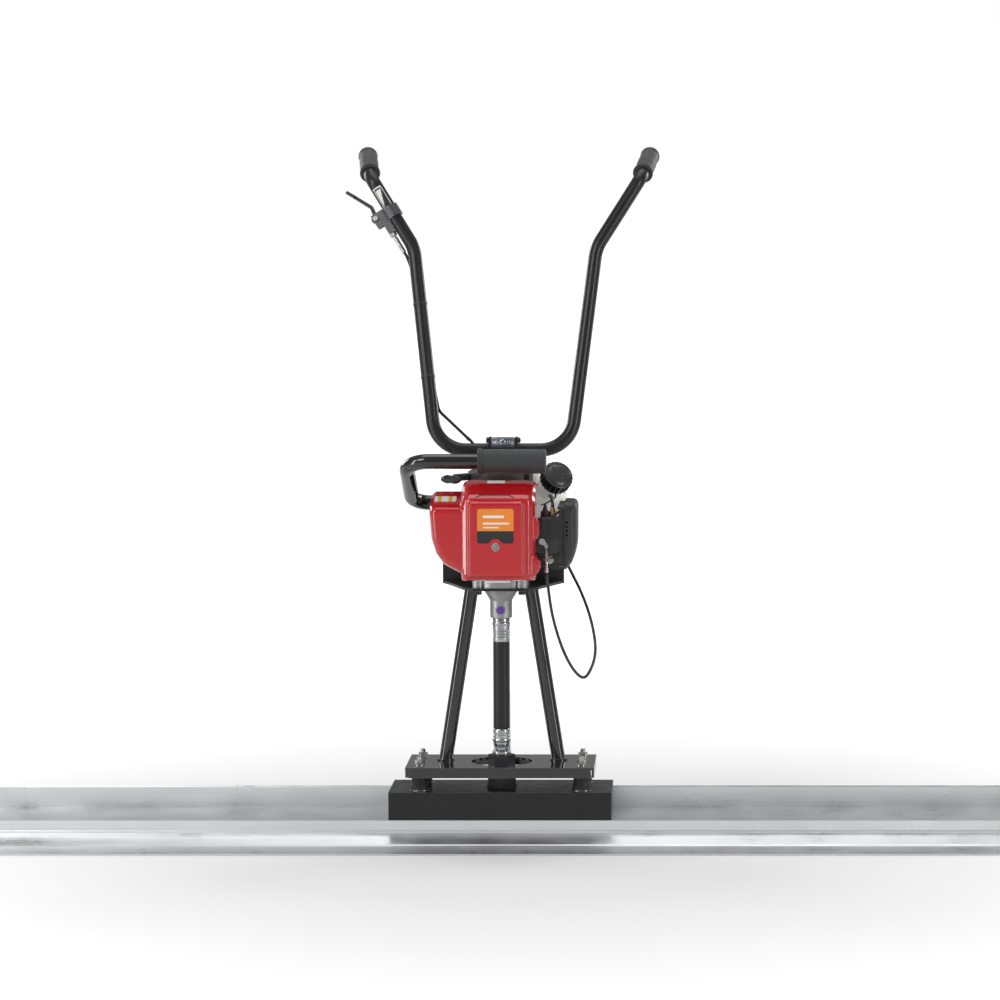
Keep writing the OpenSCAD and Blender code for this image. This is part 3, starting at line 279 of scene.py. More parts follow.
def tank_plastic():
    t = surface("translucent_tank", (0.78, 0.775, 0.735), 0.38, 0.0, 0.04, 0.06, 900, 0.12, 0.0004)
    t.set("Subsurface Weight", 0.6)
    t.set("Subsurface Radius", (0.008, 0.007, 0.005))
    t.set("Subsurface Scale", 1.0)
    # fuel shows through the wall as a slightly darker, warmer lower part
    z = t.math("ADD", t.axis("Z"), t.math("MULTIPLY", t.noise(20, 2), 0.004))
    col = t.mix(t.ramp(z, 0.503, 0.512, 0.55, 0.0), t.linked("Base Color"), (0.66, 0.63, 0.50))
    t.set("Base Color", col)
    # painted light: the tank glows with its own colour, standing in for light that comes through the thin wall
    # from behind
    t.set("Emission Color", col)
    t.set("Emission Strength", 0.22)
    return t.mat


M["tank_plastic"] = tank_plastic()


def soft_rubber(name, color, rough, pebble):
    t = surface(name, color, rough, 0.0, 0.18, 0.08, 1800, 0.0, dust=0.06)
    cells = t.voronoi(pebble)
    t.bump(t.math("ADD", t.ramp(cells, 0.0, 0.6), t.math("MULTIPLY", t.noise(2200, 4), 0.4)), 0.35, 0.0005)
    t.set("Sheen Weight", 0.15)
    t.set("Sheen Roughness", 0.4)
    return t.mat


M["grip_rubber"] = soft_rubber("grip_rubber", (0.030, 0.031, 0.033), 0.52, 1400)
M["bulb"] = soft_rubber("bulb_rubber", (0.62, 0.60, 0.52), 0.35, 2500)


def braided():
    t = surface("braided_cord", (0.022, 0.022, 0.023), 0.8, 0.0, 0.3, 0.1, 900, 0.0)
    w = t.put("ShaderNodeTexWave", {"Vector": t.coord, "Scale": 260.0, "Distortion": 1.0},
              bands_direction="DIAGONAL").outputs["Fac"]
    t.bump(w, 0.8, 0.0006)
    return t.mat


M["rope"] = braided()


def foam():
    t = surface("filter_foam", (0.05, 0.05, 0.05), 0.95, 0.0, 0.3, 0.05, 900, 0.0)
    t.bump(t.voronoi(900), 1.0)
    return t.mat


M["filter_foam"] = foam()


def heat_steel():
    t = surface("heat_stained_steel", (0.22, 0.20, 0.18), 0.42, 0.9, 0.2, 0.1, 500, 0.2)
    stain = t.ramp(t.noise(30, 5), 0.45, 0.65, 0, 0.7)
    t.set("Base Color", t.mix(stain, t.linked("Base Color"), (0.20, 0.12, 0.07)))
    return t.mat


M["muffler_steel"] = heat_steel()


def engine_sticker():
    """Orange band over a black one, with a few plain stripes; heights and widths in metres."""
    t = surface("engine_sticker", (0.80, 0.24, 0.02), 0.30, 0.0, 0.05, 0.05, 900, 0.04, 0.0002, coat=0.5)
    x, z = t.axis("X"), t.axis("Z")
    col = t.mix(t.math("LESS_THAN", z, 0.513), t.linked("Base Color"), (0.012, 0.012, 0.013))
    for z0, z1, x1 in ((0.5335, 0.5375, 0.012), (0.5235, 0.5262, 0.020), (0.5175, 0.5195, 0.004)):
        stripe = t.math("MULTIPLY", t.between(z, z0, z1), t.between(x, -0.021, x1))
        col = t.mix(stripe, col, (0.82, 0.80, 0.76))
    t.set("Base Color", col)
    return t.mat


M["engine_sticker"] = engine_sticker()


def shoulder_painted_reflection():
    """Painted reflection: pale with two amber fields, the surroundings mirrored on the shoulder top."""
    t = surface("shoulder_painted_reflection", (0.74, 0.73, 0.70), 0.28, 0.0, 0.05, 0.05, 700, 0.04, 0.0002, coat=0.6)
    col = t.linked("Base Color")
    for x0, x1 in ((-0.094, -0.088), (-0.077, -0.071)):
        col = t.mix(t.between(t.axis("X"), x0, x1), col, (0.72, 0.36, 0.03))
    t.set("Base Color", col)
    return t.mat


# painted reflection of the surroundings on the shoulder top
M["shoulder_painted_reflection"] = shoulder_painted_reflection()


# ---------------------------------------- mesh helpers (inputs in mm)

def as_object(bm, name):
    bmesh.ops.recalc_face_normals(bm, faces=bm.faces)
    me = bpy.data.meshes.new(name)
    bm.to_mesh(me)
    bm.free()
    o = bpy.data.objects.new(name, me)
    bpy.context.scene.collection.objects.link(o)
    return o


def drop(o):
    me = o.data
    bpy.data.objects.remove(o)
    bpy.data.meshes.remove(me)


def finish(bm, name, look, body="frame", stands_for=None, angle=32):
    """Piece of the machine: a look from M on a body; edges sharper than the angle stay crisp."""
    bmesh.ops.remove_doubles(bm, verts=bm.verts, dist=1e-6)
    bmesh.ops.recalc_face_normals(bm, faces=bm.faces)
    for f in bm.faces:
        f.smooth = True
    for e in bm.edges:
        if len(e.link_faces) == 2 and e.calc_face_angle(0.0) > math.radians(angle):
            e.smooth = False
    o = as_object(bm, name)
    o.data.materials.append(M[look])
    if body:
        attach(o, body)
    if stands_for:
        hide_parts(stands_for)
    return o


def round_edges(o, width, angle=40):
    b = o.modifiers.new("edge_round", "BEVEL")
    b.width = width * MM
    b.segments = 2
    b.limit_method = "ANGLE"
    b.angle_limit = math.radians(angle)
    o.modifiers.new("even_normals", "WEIGHTED_NORMAL").keep_sharp = True


def thicken(o, thickness, offset):
    m = o.modifiers.new("skin", "SOLIDIFY")
    m.thickness = thickness * MM
    m.offset = offset


def V(*a):
    return Vector(a)


def aim(origin, z, x=None):
    """Matrix whose Z runs along z and whose origin is given, in mm."""
    z = Vector(z).normalized()
    if x is None:
        x = (1, 0, 0) if abs(z.x) < 0.9 else (0, 1, 0)
    x = (Vector(x) - z * Vector(x).dot(z)).normalized()
    y = z.cross(x)
    m = Matrix((x, y, z)).transposed().to_4x4()
    m.translation = Vector(origin)
    return m


def at_xyz(x, y, z=0):
    return Matrix.Translation((x, y, z))


def turned(degrees, axis):
    return Matrix.Rotation(math.radians(degrees), 4, axis)


UP = Matrix.Identity(4)
# stands an (x, z) outline up; its thickness runs towards -Y
UPRIGHT = Matrix(((1, 0, 0, 0), (0, 0, -1, 0), (0, 1, 0, 0), (0, 0, 0, 1)))


def lathe(bm, profile, at=UP, segs=64, wobble=None, closed=False):
    """Turns (radius, height) points about Z. Radius 0 at an end closes it; closed joins last to first."""
    rings = []
    for i, (r, z) in enumerate(profile):
        if r < 1e-6:
            rings.append([bm.verts.new(at @ V(0, 0, z) * MM)])
            continue
        ring = []
        for k in range(segs):
            a = 2 * math.pi * k / segs
            rr = r + (wobble(a, i, z) if wobble else 0)
            ring.append(bm.verts.new(at @ V(rr * math.cos(a), rr * math.sin(a), z) * MM))
        rings.append(ring)
    pairs = list(zip(rings, rings[1:]))
    if closed:
        pairs.append((rings[-1], rings[0]))
    for a, b in pairs:
        if len(a) == 1 and len(b) == 1:
            continue
        for k in range(segs):
            n = (k + 1) % segs
            if len(a) == 1:
                bm.faces.new((a[0], b[k], b[n]))
            elif len(b) == 1:
                bm.faces.new((a[k], a[n], b[0]))
            else:
                bm.faces.new((a[k], a[n], b[n], b[k]))


def arc(cx, cz, r, a0, a1, n=6):
    """Points of a round profile corner, angles in degrees."""
    return [(cx + r * math.cos(math.radians(a0 + (a1 - a0) * i / n)),
             cz + r * math.sin(math.radians(a0 + (a1 - a0) * i / n))) for i in range(n + 1)]


def rounded_rect(x0, x1, z0, z1, r, n=6):
    return (arc(x1 - r, z1 - r, r, 0, 90, n) + arc(x0 + r, z1 - r, r, 90, 180, n)
            + arc(x0 + r, z0 + r, r, 180, 270, n) + arc(x1 - r, z0 + r, r, 270, 360, n))


def fillet_path(points, radii, n=10):
    """Centreline through corner points with round bends."""
    pts = [Vector(p) for p in points]
    out = [pts[0]]
    for i in range(1, len(pts) - 1):
        a, b, c, r = pts[i - 1], pts[i], pts[i + 1], radii[i]
        u, v = (a - b).normalized(), (c - b).normalized()
        half = u.angle(v) / 2
        reach = r / math.tan(half)
        s, e = b + u * reach, b + v * reach
        o = b + (u + v).normalized() * r / math.sin(half)
        x = (s - o).normalized()
        y = (e - o - x * (e - o).dot(x)).normalized()
        for k in range(n + 1):
            a = (math.pi - 2 * half) * k / n
            out.append(o + (x * math.cos(a) + y * math.sin(a)) * r)
    out.append(pts[-1])
    return out


def spline(points, n=8):
    """Catmull-Rom curve through the points."""
    p = [Vector(q) for q in points]
    p = [p[0] * 2 - p[1]] + p + [p[-1] * 2 - p[-2]]
    out = []
    for i in range(1, len(p) - 2):
        for k in range(n):
            t = k / n
            a, b, c, d = p[i - 1], p[i], p[i + 1], p[i + 2]
            out.append(0.5 * ((2 * b) + (c - a) * t + (2 * a - 5 * b + 4 * c - d) * t * t
                              + (3 * b - a - 3 * c + d) * t ** 3))
    out.append(p[-2])
    return out


def subdivide(path, step):
    out = []
    for a, b in zip(path, path[1:]):
        n = max(1, int((b - a).length / step))
        out += [a.lerp(b, k / n) for k in range(n)]
    return out + [path[-1]]


def sweep(bm, path, radius, segs=24):
    """Tube along a path. radius is a number or a function of 0..1 along the length."""
    path = [Vector(p) for p in path]
    path = [path[0]] + [q for p, q in zip(path, path[1:]) if (q - p).length > 1e-4]
    total = sum((q - p).length for p, q in zip(path, path[1:]))
    t0 = (path[1] - path[0]).normalized()
    x = t0.orthogonal().normalized()
    rings, run = [], 0.0
    for i, p in enumerate(path):
        if i:
            run += (p - path[i - 1]).length
        t = (path[min(i + 1, len(path) - 1)] - path[max(i - 1, 0)]).normalized()
        x = (x - t * x.dot(t)).normalized()
        y = t.cross(x)
        r = radius(run / total) if callable(radius) else radius
        ring = []
        for k in range(segs):
            a = 2 * math.pi * k / segs
            ring.append(bm.verts.new((p + (x * math.cos(a) + y * math.sin(a)) * r) * MM))
        rings.append(ring)
    for a, b in zip(rings, rings[1:]):
        for k in range(segs):
            n = (k + 1) % segs
            bm.faces.new((a[k], a[n], b[n], b[k]))
    bm.faces.new(rings[0][::-1])
    bm.faces.new(rings[-1])


def rbox(bm, lo, hi, r=1.0, segs=3, at=UP):
    """Box with rounded edges."""
    lo, hi = Vector(lo), Vector(hi)
    before = set(bm.verts)
    res = bmesh.ops.create_cube(bm, size=1.0)
    c, s = (lo + hi) / 2, hi - lo
    for v in res["verts"]:
        v.co = V(v.co.x * s.x, v.co.y * s.y, v.co.z * s.z) + c
    edges = {e for v in res["verts"] for e in v.link_edges}
    if r:
        bmesh.ops.bevel(bm, geom=list(edges), offset=min(r, min(s) * 0.49), segments=segs,
                        affect="EDGES", profile=0.5, clamp_overlap=True)
    for v in bm.verts:
        if v not in before:
            v.co = (at @ v.co) * MM


def prism(bm, outline, h0, h1, at=UP, r=0.0, segs=3):
    """Extruded outline; r rounds all its edges."""
    before = set(bm.verts)
    a = [bm.verts.new((x, y, h0)) for x, y in outline]
    b = [bm.verts.new((x, y, h1)) for x, y in outline]
    n = len(outline)
    faces = [bm.faces.new(a[::-1]), bm.faces.new(b)]
    for i in range(n):
        j = (i + 1) % n
        faces.append(bm.faces.new((a[i], a[j], b[j], b[i])))
    if r:
        edges = {e for f in faces for e in f.edges}
        bmesh.ops.bevel(bm, geom=list(edges), offset=r, segments=segs, affect="EDGES",
                        profile=0.5, clamp_overlap=True)
    for v in bm.verts:
        if v not in before:
            v.co = (at @ v.co) * MM


def ball(bm, c, r):
    before = set(bm.verts)
    bmesh.ops.create_uvsphere(bm, u_segments=24, v_segments=12, radius=r)
    for v in bm.verts:
        if v not in before:
            v.co = (v.co + c) * MM


def can(bm, r, h0, h1, at=UP, edge=0.6, segs=48, hole=0.0):
    """Round disc or drum with rounded rims, or a ring if it has a hole."""
    p = [(hole, h0), (r - edge, h0)] + arc(r - edge, h0 + edge, edge, -90, 0, 3) \
        + arc(r - edge, h1 - edge, edge, 0, 90, 3) + [(hole, h1)]
    lathe(bm, p, at, segs, closed=bool(hole))


def hexhead(bm, across, h0, h1, at=UP):
    r = across / 2 / math.cos(math.pi / 6)
    outline = [(r * math.cos(math.radians(60 * k)), r * math.sin(math.radians(60 * k))) for k in range(6)]
    prism(bm, outline, h0, h1, at, r=min(0.5, (h1 - h0) / 5), segs=2)


def fuse(bm, voxel, smooth):
    """Melts overlapping closed forms into one moulded skin and returns it as a bmesh."""
    o = as_object(bm, "raw")
    m = o.modifiers.new("melt", "REMESH")
    m.mode = "VOXEL"
    m.voxel_size = voxel * MM
    o.modifiers.new("relax", "SMOOTH").iterations = smooth
    done = bmesh.new()
    done.from_object(o, bpy.context.evaluated_depsgraph_get())
    drop(o)
    return done


def carve(o, bm):
    """Cuts the closed forms in bm out of o, for good."""
    tool = as_object(bm, "cutter")
    m = o.modifiers.new("cut", "BOOLEAN")
    m.operation = "DIFFERENCE"
    m.solver = "EXACT"
    m.object = tool
    dg = bpy.context.evaluated_depsgraph_get()
    new = bpy.data.meshes.new_from_object(o.evaluated_get(dg))
    o.modifiers.remove(m)
    old = o.data
    o.data = new
    bpy.data.meshes.remove(old)
    drop(tool)


# ---------------------------------------- CAD nodes that stay

SLOT_OF = {s["node"]: s["material_slot"] for s in frame["record"]["subparts"]}
OWN = {"throttle_lever": "control_black", "choke_lever": "control_black"}
BEVEL = {"vibrator_box": 1.2, "base_plate": 1.0, "engine_bracket": 0.5, "screed_board": 0.35,
         "throttle_lever": 0.8, "throttle_bracket": 0.8, "crankcase": 2.0, "carburettor": 1.5,
         "air_cleaner_base": 1.0, "recoil_cover": 1.2, "blower_housing": 1.2, "oil_cap": 0.8,
         "clutch_housing": 1.5, "clamp_saddle": 1.0, "muffler": 2.0, "coupling_nut": 0.6,
         "exciter_housing": 1.0, "exciter_cap": 0.8, "isolator_fasteners": 0.6, "hex_bolts": 0.4,
         "collar_screw": 0.6}
for node, o in NODES.items():
    o.data.materials.clear()
    o.data.materials.append(M[OWN.get(node, SLOT_OF[node])])
    for p in o.data.polygons:
        p.use_smooth = True
    bm = bmesh.new()
    bm.from_mesh(o.data)
    for e in bm.edges:
        if len(e.link_faces) != 2 or e.calc_face_angle(0) > math.radians(28):
            o.data.edges[e.index].use_edge_sharp = True
    bm.free()
    if node in BEVEL:
        round_edges(o, BEVEL[node], 35)


# ---------------------------------------- red engine cover

def loft(bm, sections):
    """Closed skin through equal-length loops of points, capped at both ends."""
    rings = [[bm.verts.new(Vector(p) * MM) for p in s] for s in sections]
    n = len(rings[0])
    for a, b in zip(rings, rings[1:]):
        for k in range(n):
            j = (k + 1) % n
            bm.faces.new((a[k], a[j], b[j], b[k]))
    bm.faces.new(rings[0][::-1])
    bm.faces.new(rings[-1])


def inset(outline, d):
    """Moves each corner of an outline inwards by about d."""
    n = len(outline)
    middle = V(sum(p[0] for p in outline), sum(p[1] for p in outline), 0) / n
    out = []
    for i in range(n):
        a, b, c = (V(*outline[(i + k) % n], 0) for k in (-1, 0, 1))
        u, v = (b - a).normalized(), (c - b).normalized()
        nrm = V(-u.y - v.y, u.x + v.x, 0).normalized() / max(0.6, math.cos(u.angle(v) / 2))
        if (middle - b).dot(nrm) < 0:
            nrm = -nrm
        out.append(tuple((b + nrm * d).xy))
    return out


SHOULDER = [(-99, 552), (-105.5, 547), (-107, 538), (-103.5, 497), (-96.5, 475), (-85, 459), (-68, 449),
            (-58, 444), (-48, 435), (-30, 435), (-30, 500), (-30, 552)]


def shoulder_at(y, d, rise):
    return [(x - 0.04 * rise, y, z + max(0.0, (z - 500) / 52) * rise) for x, z in inset(SHOULDER, d)]


def cover_profile(front, drop=0.0):
    """Y-Z section of the main cover: upright face, sloping top, flat back."""
    f = front
    return [(f, 442), (f + 4, 435), (f + 12, 433), (-56, 433), (-56, 588 - drop), (-64, 588 - drop),
            (-84, 584 - drop), (f + 26, 575 - drop), (f + 9, 569 - drop), (f + 2, 563 - drop),
            (f, 555 - drop)]


def red_cover():
    bm = bmesh.new()
    loft(bm, [shoulder_at(-56, 0, 18), shoulder_at(-84, 0, 11), shoulder_at(-106, 0.0, 3),
              shoulder_at(-117, 2.0, 0), shoulder_at(-122, 4.5, 0), shoulder_at(-125, 9, 0)])
    # main body, its sides falling away from the front panel
    rows = ((-56, 15, 7), (-53, 8, 3), (-47, 4.5, 1), (-42, 4, 0), (42, 4, 0), (50, 5, 1), (56, 10, 2),
            (60, 18, 6))
    loft(bm, [[(x, y, z) for y, z in cover_profile(-134 + d, drop)] for x, d, drop in rows])
    # raised centre panel
    rows = []
    for x, d in ((-44.5, 4.2), (-43, 1.0), (-41, 0), (39, 0), (41, 1.0), (42.5, 4.2)):
        prof = [(-134 + d, 441 + d), (-134 + d, 556 - d), (-128, 560 - d), (-118, 560 - d), (-118, 441 + d)]
        rows.append([(x, y, z) for y, z in prof])
    loft(bm, rows)
    # boss and lug on the right
    prism(bm, [(50, 498), (64, 499), (66.5, 506), (66.5, 523), (64, 532), (50, 536)], 78, 122, UPRIGHT, r=2.0)
    prism(bm, [(48, 474), (60, 472), (69, 462), (68, 452), (61, 441), (48, 438)], 84, 124, UPRIGHT, r=2.0)
    # small horn at the top right corner
    prism(bm, [(48, 578), (64, 582), (60, 572), (48, 560)], 62, 74, UPRIGHT, r=1.5)
    # ridge round the opening under the recoil starter
    lathe(bm, [(50, 572), (54, 574), (54, 583), (50, 585), (46, 583), (46, 574)], UP, 72, closed=True)
    for v in bm.verts:
        v.co.y = min(v.co.y, -0.056)
    bm = fuse(bm, 1.5, 5)
    # open the back and give the skin a thickness
    back = [f for f in bm.faces if f.calc_center_median().y > -0.0575 and f.normal.y > 0.5]
    bmesh.ops.delete(bm, geom=back, context="FACES")
    o = finish(bm, "red_cover", "red_cover", None, angle=180)
    thicken(o, 2.4, -1)
    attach(o, "frame")
    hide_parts("top_cover")


red_cover()

# painted shade: a near-black tube along the arch at the top of the front panel, standing for the shade in its
# groove; pale bars above and below it
bm = bmesh.new()
sweep(bm, spline([(-33, -132.2, 565.0), (-28, -131.6, 567.6), (-21, -131.0, 569.3), (16, -131.0, 569.3),
                  (23, -131.6, 567.6), (28, -132.2, 565.0)], 6), 0.75, 10)
finish(bm, "cover_arch_shade_line", "painted_groove_shade")
bm = bmesh.new()
rbox(bm, (-17, -1.6, -5), (11, 1.6, 5), 0.7, 2, at_xyz(0, -77, 585.6) @ turned(-76, "X"))
finish(bm, "cover_vent_bar", "pale_label")
bm = bmesh.new()
rbox(bm, (-18, -123, 430.5), (21, -117, 434.2), 0.8, 2)
finish(bm, "cover_foot_strip", "pale_label")

COVER_SCREW = V(-1.5, -134, 487.6)


def label():
    """Two-band sticker with a scallop round the cover screw."""
    x0, x1, z0, z1, r = -30.0, 27.0, 493.5, 548.0, 3.5
    cx = COVER_SCREW.x
    pts = arc(x1 - r, z1 - r, r, 0, 90, 5) + arc(x0 + r, z1 - r, r, 90, 180, 5) \
        + arc(x0 + r, z0 + r, r, 180, 270, 5)
    pts += [(cx - 14, z0)] + arc(cx - 12.5, z0 + 3.0, 3.0, 280, 330, 3)
    pts += arc(cx, z0 - 3, 10.2, 150, 30, 10)
    pts += arc(cx + 12.5, z0 + 3.0, 3.0, 210, 260, 3) + [(cx + 14, z0)]
    pts += arc(x1 - r, z0 + r, r, 270, 360, 5)
    bm = bmesh.new()
    prism(bm, pts, 133.9, 134.4, UPRIGHT)
    finish(bm, "engine_label", "engine_sticker")


label()

# painted reflection: a pale patch with amber fields on the sloping top of the shoulder
bm = bmesh.new()
prism(bm, rounded_rect(-17, 17, -9.5, 9.5, 2.5), -0.4, 0.4, at_xyz(-82, -94, 560.2) @ turned(20, "X"))
finish(bm, "shoulder_reflection_patch", "shoulder_painted_reflection")

# dished washer and recessed screw of the cover
bm = bmesh.new()
at = aim(COVER_SCREW, (0, -1, 0))
lathe(bm, [(0, 0.4), (3.6, 0.4), (4.4, 1.6), (5.6, 1.6), (6.4, 0.8), (6.6, -0.5), (0, -0.5)], at, 40)
lathe(bm, [(0, 0.9), (1.6, 0.9), (1.9, 2.2), (3.2, 2.3), (3.9, 1.2), (4.0, 0.3), (0, 0.3)], at, 40)
finish(bm, "cover_screw_head", "zinc", stands_for="cover_screw")

# ---------------------------------------- recoil starter top

# centre ring, screw bosses, screws and the hook at the rim
top = BOX["recoil_cover"][1].z
SCREWS = [at_xyz(*(turned(45 + 90 * k, "Z") @ V(44.5, 0, 0))) for k in range(4)]
bm = bmesh.new()
lathe(bm, [(0, top - 0.4), (9, top - 0.4), (11, top + 0.8), (14, top + 0.8), (15.5, top - 0.4)], UP, 64)
for c in SCREWS:
    can(bm, 4.2, top - 2.6, top + 0.6, c, 0.5, 24)
finish(bm, "recoil_trim", "grey_plastic")
bm = bmesh.new()
for c in SCREWS:
    can(bm, 2.6, top + 0.5, top + 2.2, c, 0.5, 20)
finish(bm, "recoil_screws", "zinc")
bm = bmesh.new()
rbox(bm, (38, -34, 583), (48, -22, 600), 1.2)
rbox(bm, (30, -30, 596), (44, -24, 600.5), 1.0)
finish(bm, "cover_hook", "black_plastic")

# starter grip, moulded in one with a collar and a pull bar
pull = Vector(JOINTS["starter_pull"]["axis"])
side = V(-pull.y, pull.x, 0)
bar_at = mid("starter_grip") + pull * 3.5
m = Matrix((pull, side, (0, 0, 1))).transposed().to_4x4()
m.translation = bar_at
bm = bmesh.new()
sweep(bm, [m @ V(0, 2 * i - 16, 0) for i in range(17)],
      lambda s: 7.0 * (1 - (2 * s - 1) ** 6 * 0.32) - 0.7 * math.cos(math.pi * (2 * s - 1)) ** 2, 20)
ball(bm, m @ V(0, -15, 0), 5.0)
ball(bm, m @ V(0, 15, 0), 5.0)
sweep(bm, [m @ V(x, 0, 0) for x in (-12.5, -9, -6, -2)], lambda s: 6.3 - 1.2 * math.sin(s * math.pi), 20)
bm = fuse(bm, 0.9, 4)
finish(bm, "starter_pull_grip", "black_plastic", "starter_grip", stands_for="starter_grip", angle=180)

# ---------------------------------------- carburettor side

# moulded shroud with a lip along its top
bm = bmesh.new()
rbox(bm, (64, -91.4, 490), (104, -62, 531), 5.0, 4)
rbox(bm, (68, -92.4, 519), (101, -88, 528), 1.5, 3)
rbox(bm, (58, -84, 470), (98, -58, 494), 4.0, 3)
bm = fuse(bm, 0.9, 3)
o = finish(bm, "carburettor_shroud", "black_plastic", angle=180)
# pocket that the primer bulb is pressed up into
lo, hi = BOX["primer_bulb"]
c = mid("primer_bulb")
r = (hi.x - lo.x) / 2
bm = bmesh.new()
lathe(bm, [(0, lo.z - 8), (2 * r, lo.z - 8), (r + 1.2, lo.z + 1), (r + 1.2, hi.z + 4), (0, hi.z + 4)],
      at_xyz(c.x, c.y), 40)
carve(o, bm)
# splash guard between the carburettor and the tank
bm = bmesh.new()
rbox(bm, (46, 28, 436), (104, 35, 508), 2.5, 3)
rbox(bm, (52, 26.5, 444), (98, 30, 500), 1.5, 3)
finish(bm, "tank_guard", "black_plastic")
# breather cone, brass fuel fitting with knurled rings, and the two fuel lines
bm = bmesh.new()
lathe(bm, [(0, 0), (6, 0), (6.6, 1.5), (5.2, 6), (3.0, 14), (1.8, 20), (0, 21.5)], at_xyz(74, -70, 531), 32)
finish(bm, "vent_cone", "black_plastic")
at = at_xyz(86, -74, 530)
bm = bmesh.new()
can(bm, 4.6, 0, 7, at, 0.5, 6)
can(bm, 3.2, 6.5, 15, at, 0.5, 24)
for k in range(4):
    can(bm, 3.7, 8 + 1.8 * k, 9.2 + 1.8 * k, at, 0.3, 24)
can(bm, 3.4, -2, 6, aim((92, -72, 538), (1, 0.2, 0.25)), 0.4, 20)
finish(bm, "fuel_fitting", "brass")
bm = bmesh.new()
sweep(bm, spline([(86, -74, 544), (86, -73, 552), (84, -62, 560), (80, -30, 560), (78, 10, 556),
                  (76, 42, 552)]), 2.6, 16)
sweep(bm, spline([(93, -71, 538.5), (98, -70, 541), (101, -60, 547), (98, -30, 549), (90, 10, 530),
                  (86, 42, 520)]), 2.4, 16)
finish(bm, "fuel_lines", "cable_sheath")

# linkage at the throttle arm: barrel, spring and clevis
bm = bmesh.new()
can(bm, 2.6, -2, 3.4, aim((76.5, -93, 485), (0, -1, 0)), 0.4, 20)
coil = [(76.3 + 2.6 * math.cos(k * 0.7), -88.5 + 2.6 * math.sin(k * 0.7), 463 + k * 0.30) for k in range(64)]
sweep(bm, coil, 0.55, 8)
sweep(bm, spline([(76, -85, 458), (76, -88, 463), (76.5, -93, 478), (76.5, -94, 485)]), 0.8, 10)
finish(bm, "throttle_linkage", "zinc")


def air_cover():
    """Rounded outer cover: full thickness above, tapering to the lower corner."""
    (x0, y0, z0), (x1, y1, z1) = BOX["air_cleaner_cover"]
    r = 15

    def ring(x, d, cut):
        out = []
        corners = ((y1 - r, z1 - r, 0), (y0 + r, z1 - r, 90), (y0 + r + cut * 0.3, z0 + r + cut, 180),
                   (y1 - r - cut * 0.3, z0 + r + cut, 270))
        for cy, cz, a0 in corners:
            for k in range(7):
                a = math.radians(a0 + 15 * k)
                out.append((x, cy + (r - d) * math.cos(a), cz + (r - d) * math.sin(a)))
        return out

    bm = bmesh.new()
    loft(bm, [ring(x0, 0.6, 0), ring(x0 + 1, 0, 0), ring(x0 + 6, 0, 4), ring(x0 + 12, 0.3, 12),
              ring(x0 + 15.5, 1.2, 20), ring(x0 + 17.8, 3, 27), ring(x1 - 0.6, 6, 33), ring(x1, 10, 36)])
    inner = bmesh.new()
    loft(inner, [ring(x0 - 1, 2.6, 2), ring(x0 + 6, 2.6, 6), ring(x0 + 12, 3.2, 14), ring(x0 + 16.4, 6, 24)])
    o = finish(bm, "air_cleaner_shell", "black_plastic", None, angle=28)
    carve(o, inner)
    vents = bmesh.new()
    for k in range(4):
        z = 501 + 6.8 * k
        rbox(vents, (x0 + 2.4, y0 - 4, z), (x0 + 5.4, y0 + 6, z + 3.6), 0.5, 1)
    carve(o, vents)
    for p in o.data.polygons:
        p.use_smooth = True
    round_edges(o, 0.5)
    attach(o, "air_cleaner_cover")
    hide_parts("air_cleaner_cover")


air_cover()
# fluted knob that holds it
bm = bmesh.new()
at = aim((BOX["air_cleaner_cover"][1].x - 1.2, mid("air_cleaner_cover").y, 520), (1, 0, 0))
lathe(bm, [(0, 1.1), (4, 1.1), (5, 0.9), (5.4, 0.0), (5.4, -1.5), (0, -1.5)], at, 36,
      wobble=lambda a, i, z: 0.35 * math.cos(12 * a) if i in (2, 3, 4) else 0)
finish(bm, "air_cover_knob", "cap_plastic", "air_cleaner_cover")

# ---------------------------------------- tank and caps

CAP = JOINTS["fuel_cap_turn"]
cap_c, cap_d = Vector(CAP["pos_m"]) / MM, Vector(CAP["axis"])


def fuel_tank():
    lo = BOX["fuel_tank"][0]
    x0, x1, z0, z1 = lo.x, 104.0, lo.z, 596.0
    y0, y1 = 39.5, 75.0
    rim = ((0, 7), (1.2, 3.5), (4, 1), (8, 0))
    rows = []
    for y, d in [(y0 + k, d) for k, d in rim] + [(y1 - k, d) for k, d in reversed(rim)]:
        rows.append([(x, y, z) for x, z in rounded_rect(x0 + d, x1 - d, z0 + d, z1 - d, 15 - d * 0.5)])
    bm = bmesh.new()
    loft(bm, rows)
    # hollow that clears the blower and the recoil starter
    block = as_object(bm, "tank_block")
    drum = bmesh.new()
    lathe(drum, [(0, 558), (54, 558), (54, 620), (0, 620)], UP, 72)
    carve(block, drum)
    bm = bmesh.new()
    bm.from_mesh(block.data)
    drop(block)
    lathe(bm, [(0, -30), (20, -30), (19.5, -6), (18.6, -6), (0, -6)], aim(cap_c, cap_d), 40)
    lathe(bm, [(0, -32), (26, -32), (22, -20), (19, -12), (0, -12)], aim(cap_c, cap_d), 40)
    bm = fuse(bm, 1.4, 10)
    finish(bm, "fuel_tank_body", "tank_plastic", stands_for="fuel_tank", angle=180)
    # welded seam round the middle
    bm = bmesh.new()
    y = (y0 + y1) / 2
    a = rounded_rect(x0 - 0.9, x1 + 0.9, z0 - 0.9, z1 + 0.9, 15.5)
    b = rounded_rect(x0 + 1.5, x1 - 1.5, z0 + 1.5, z1 - 1.5, 14)
    loops = [[bm.verts.new(V(x, y + dy, z) * MM) for x, z in q]
             for q, dy in ((b, -1.1), (a, -0.7), (a, 0.7), (b, 1.1))]
    for p, q in zip(loops, loops[1:] + loops[:1]):
        for k in range(len(a)):
            bm.faces.new((p[k - 1], p[k], q[k], q[k - 1]))
    finish(bm, "fuel_tank_seam", "tank_plastic")


fuel_tank()


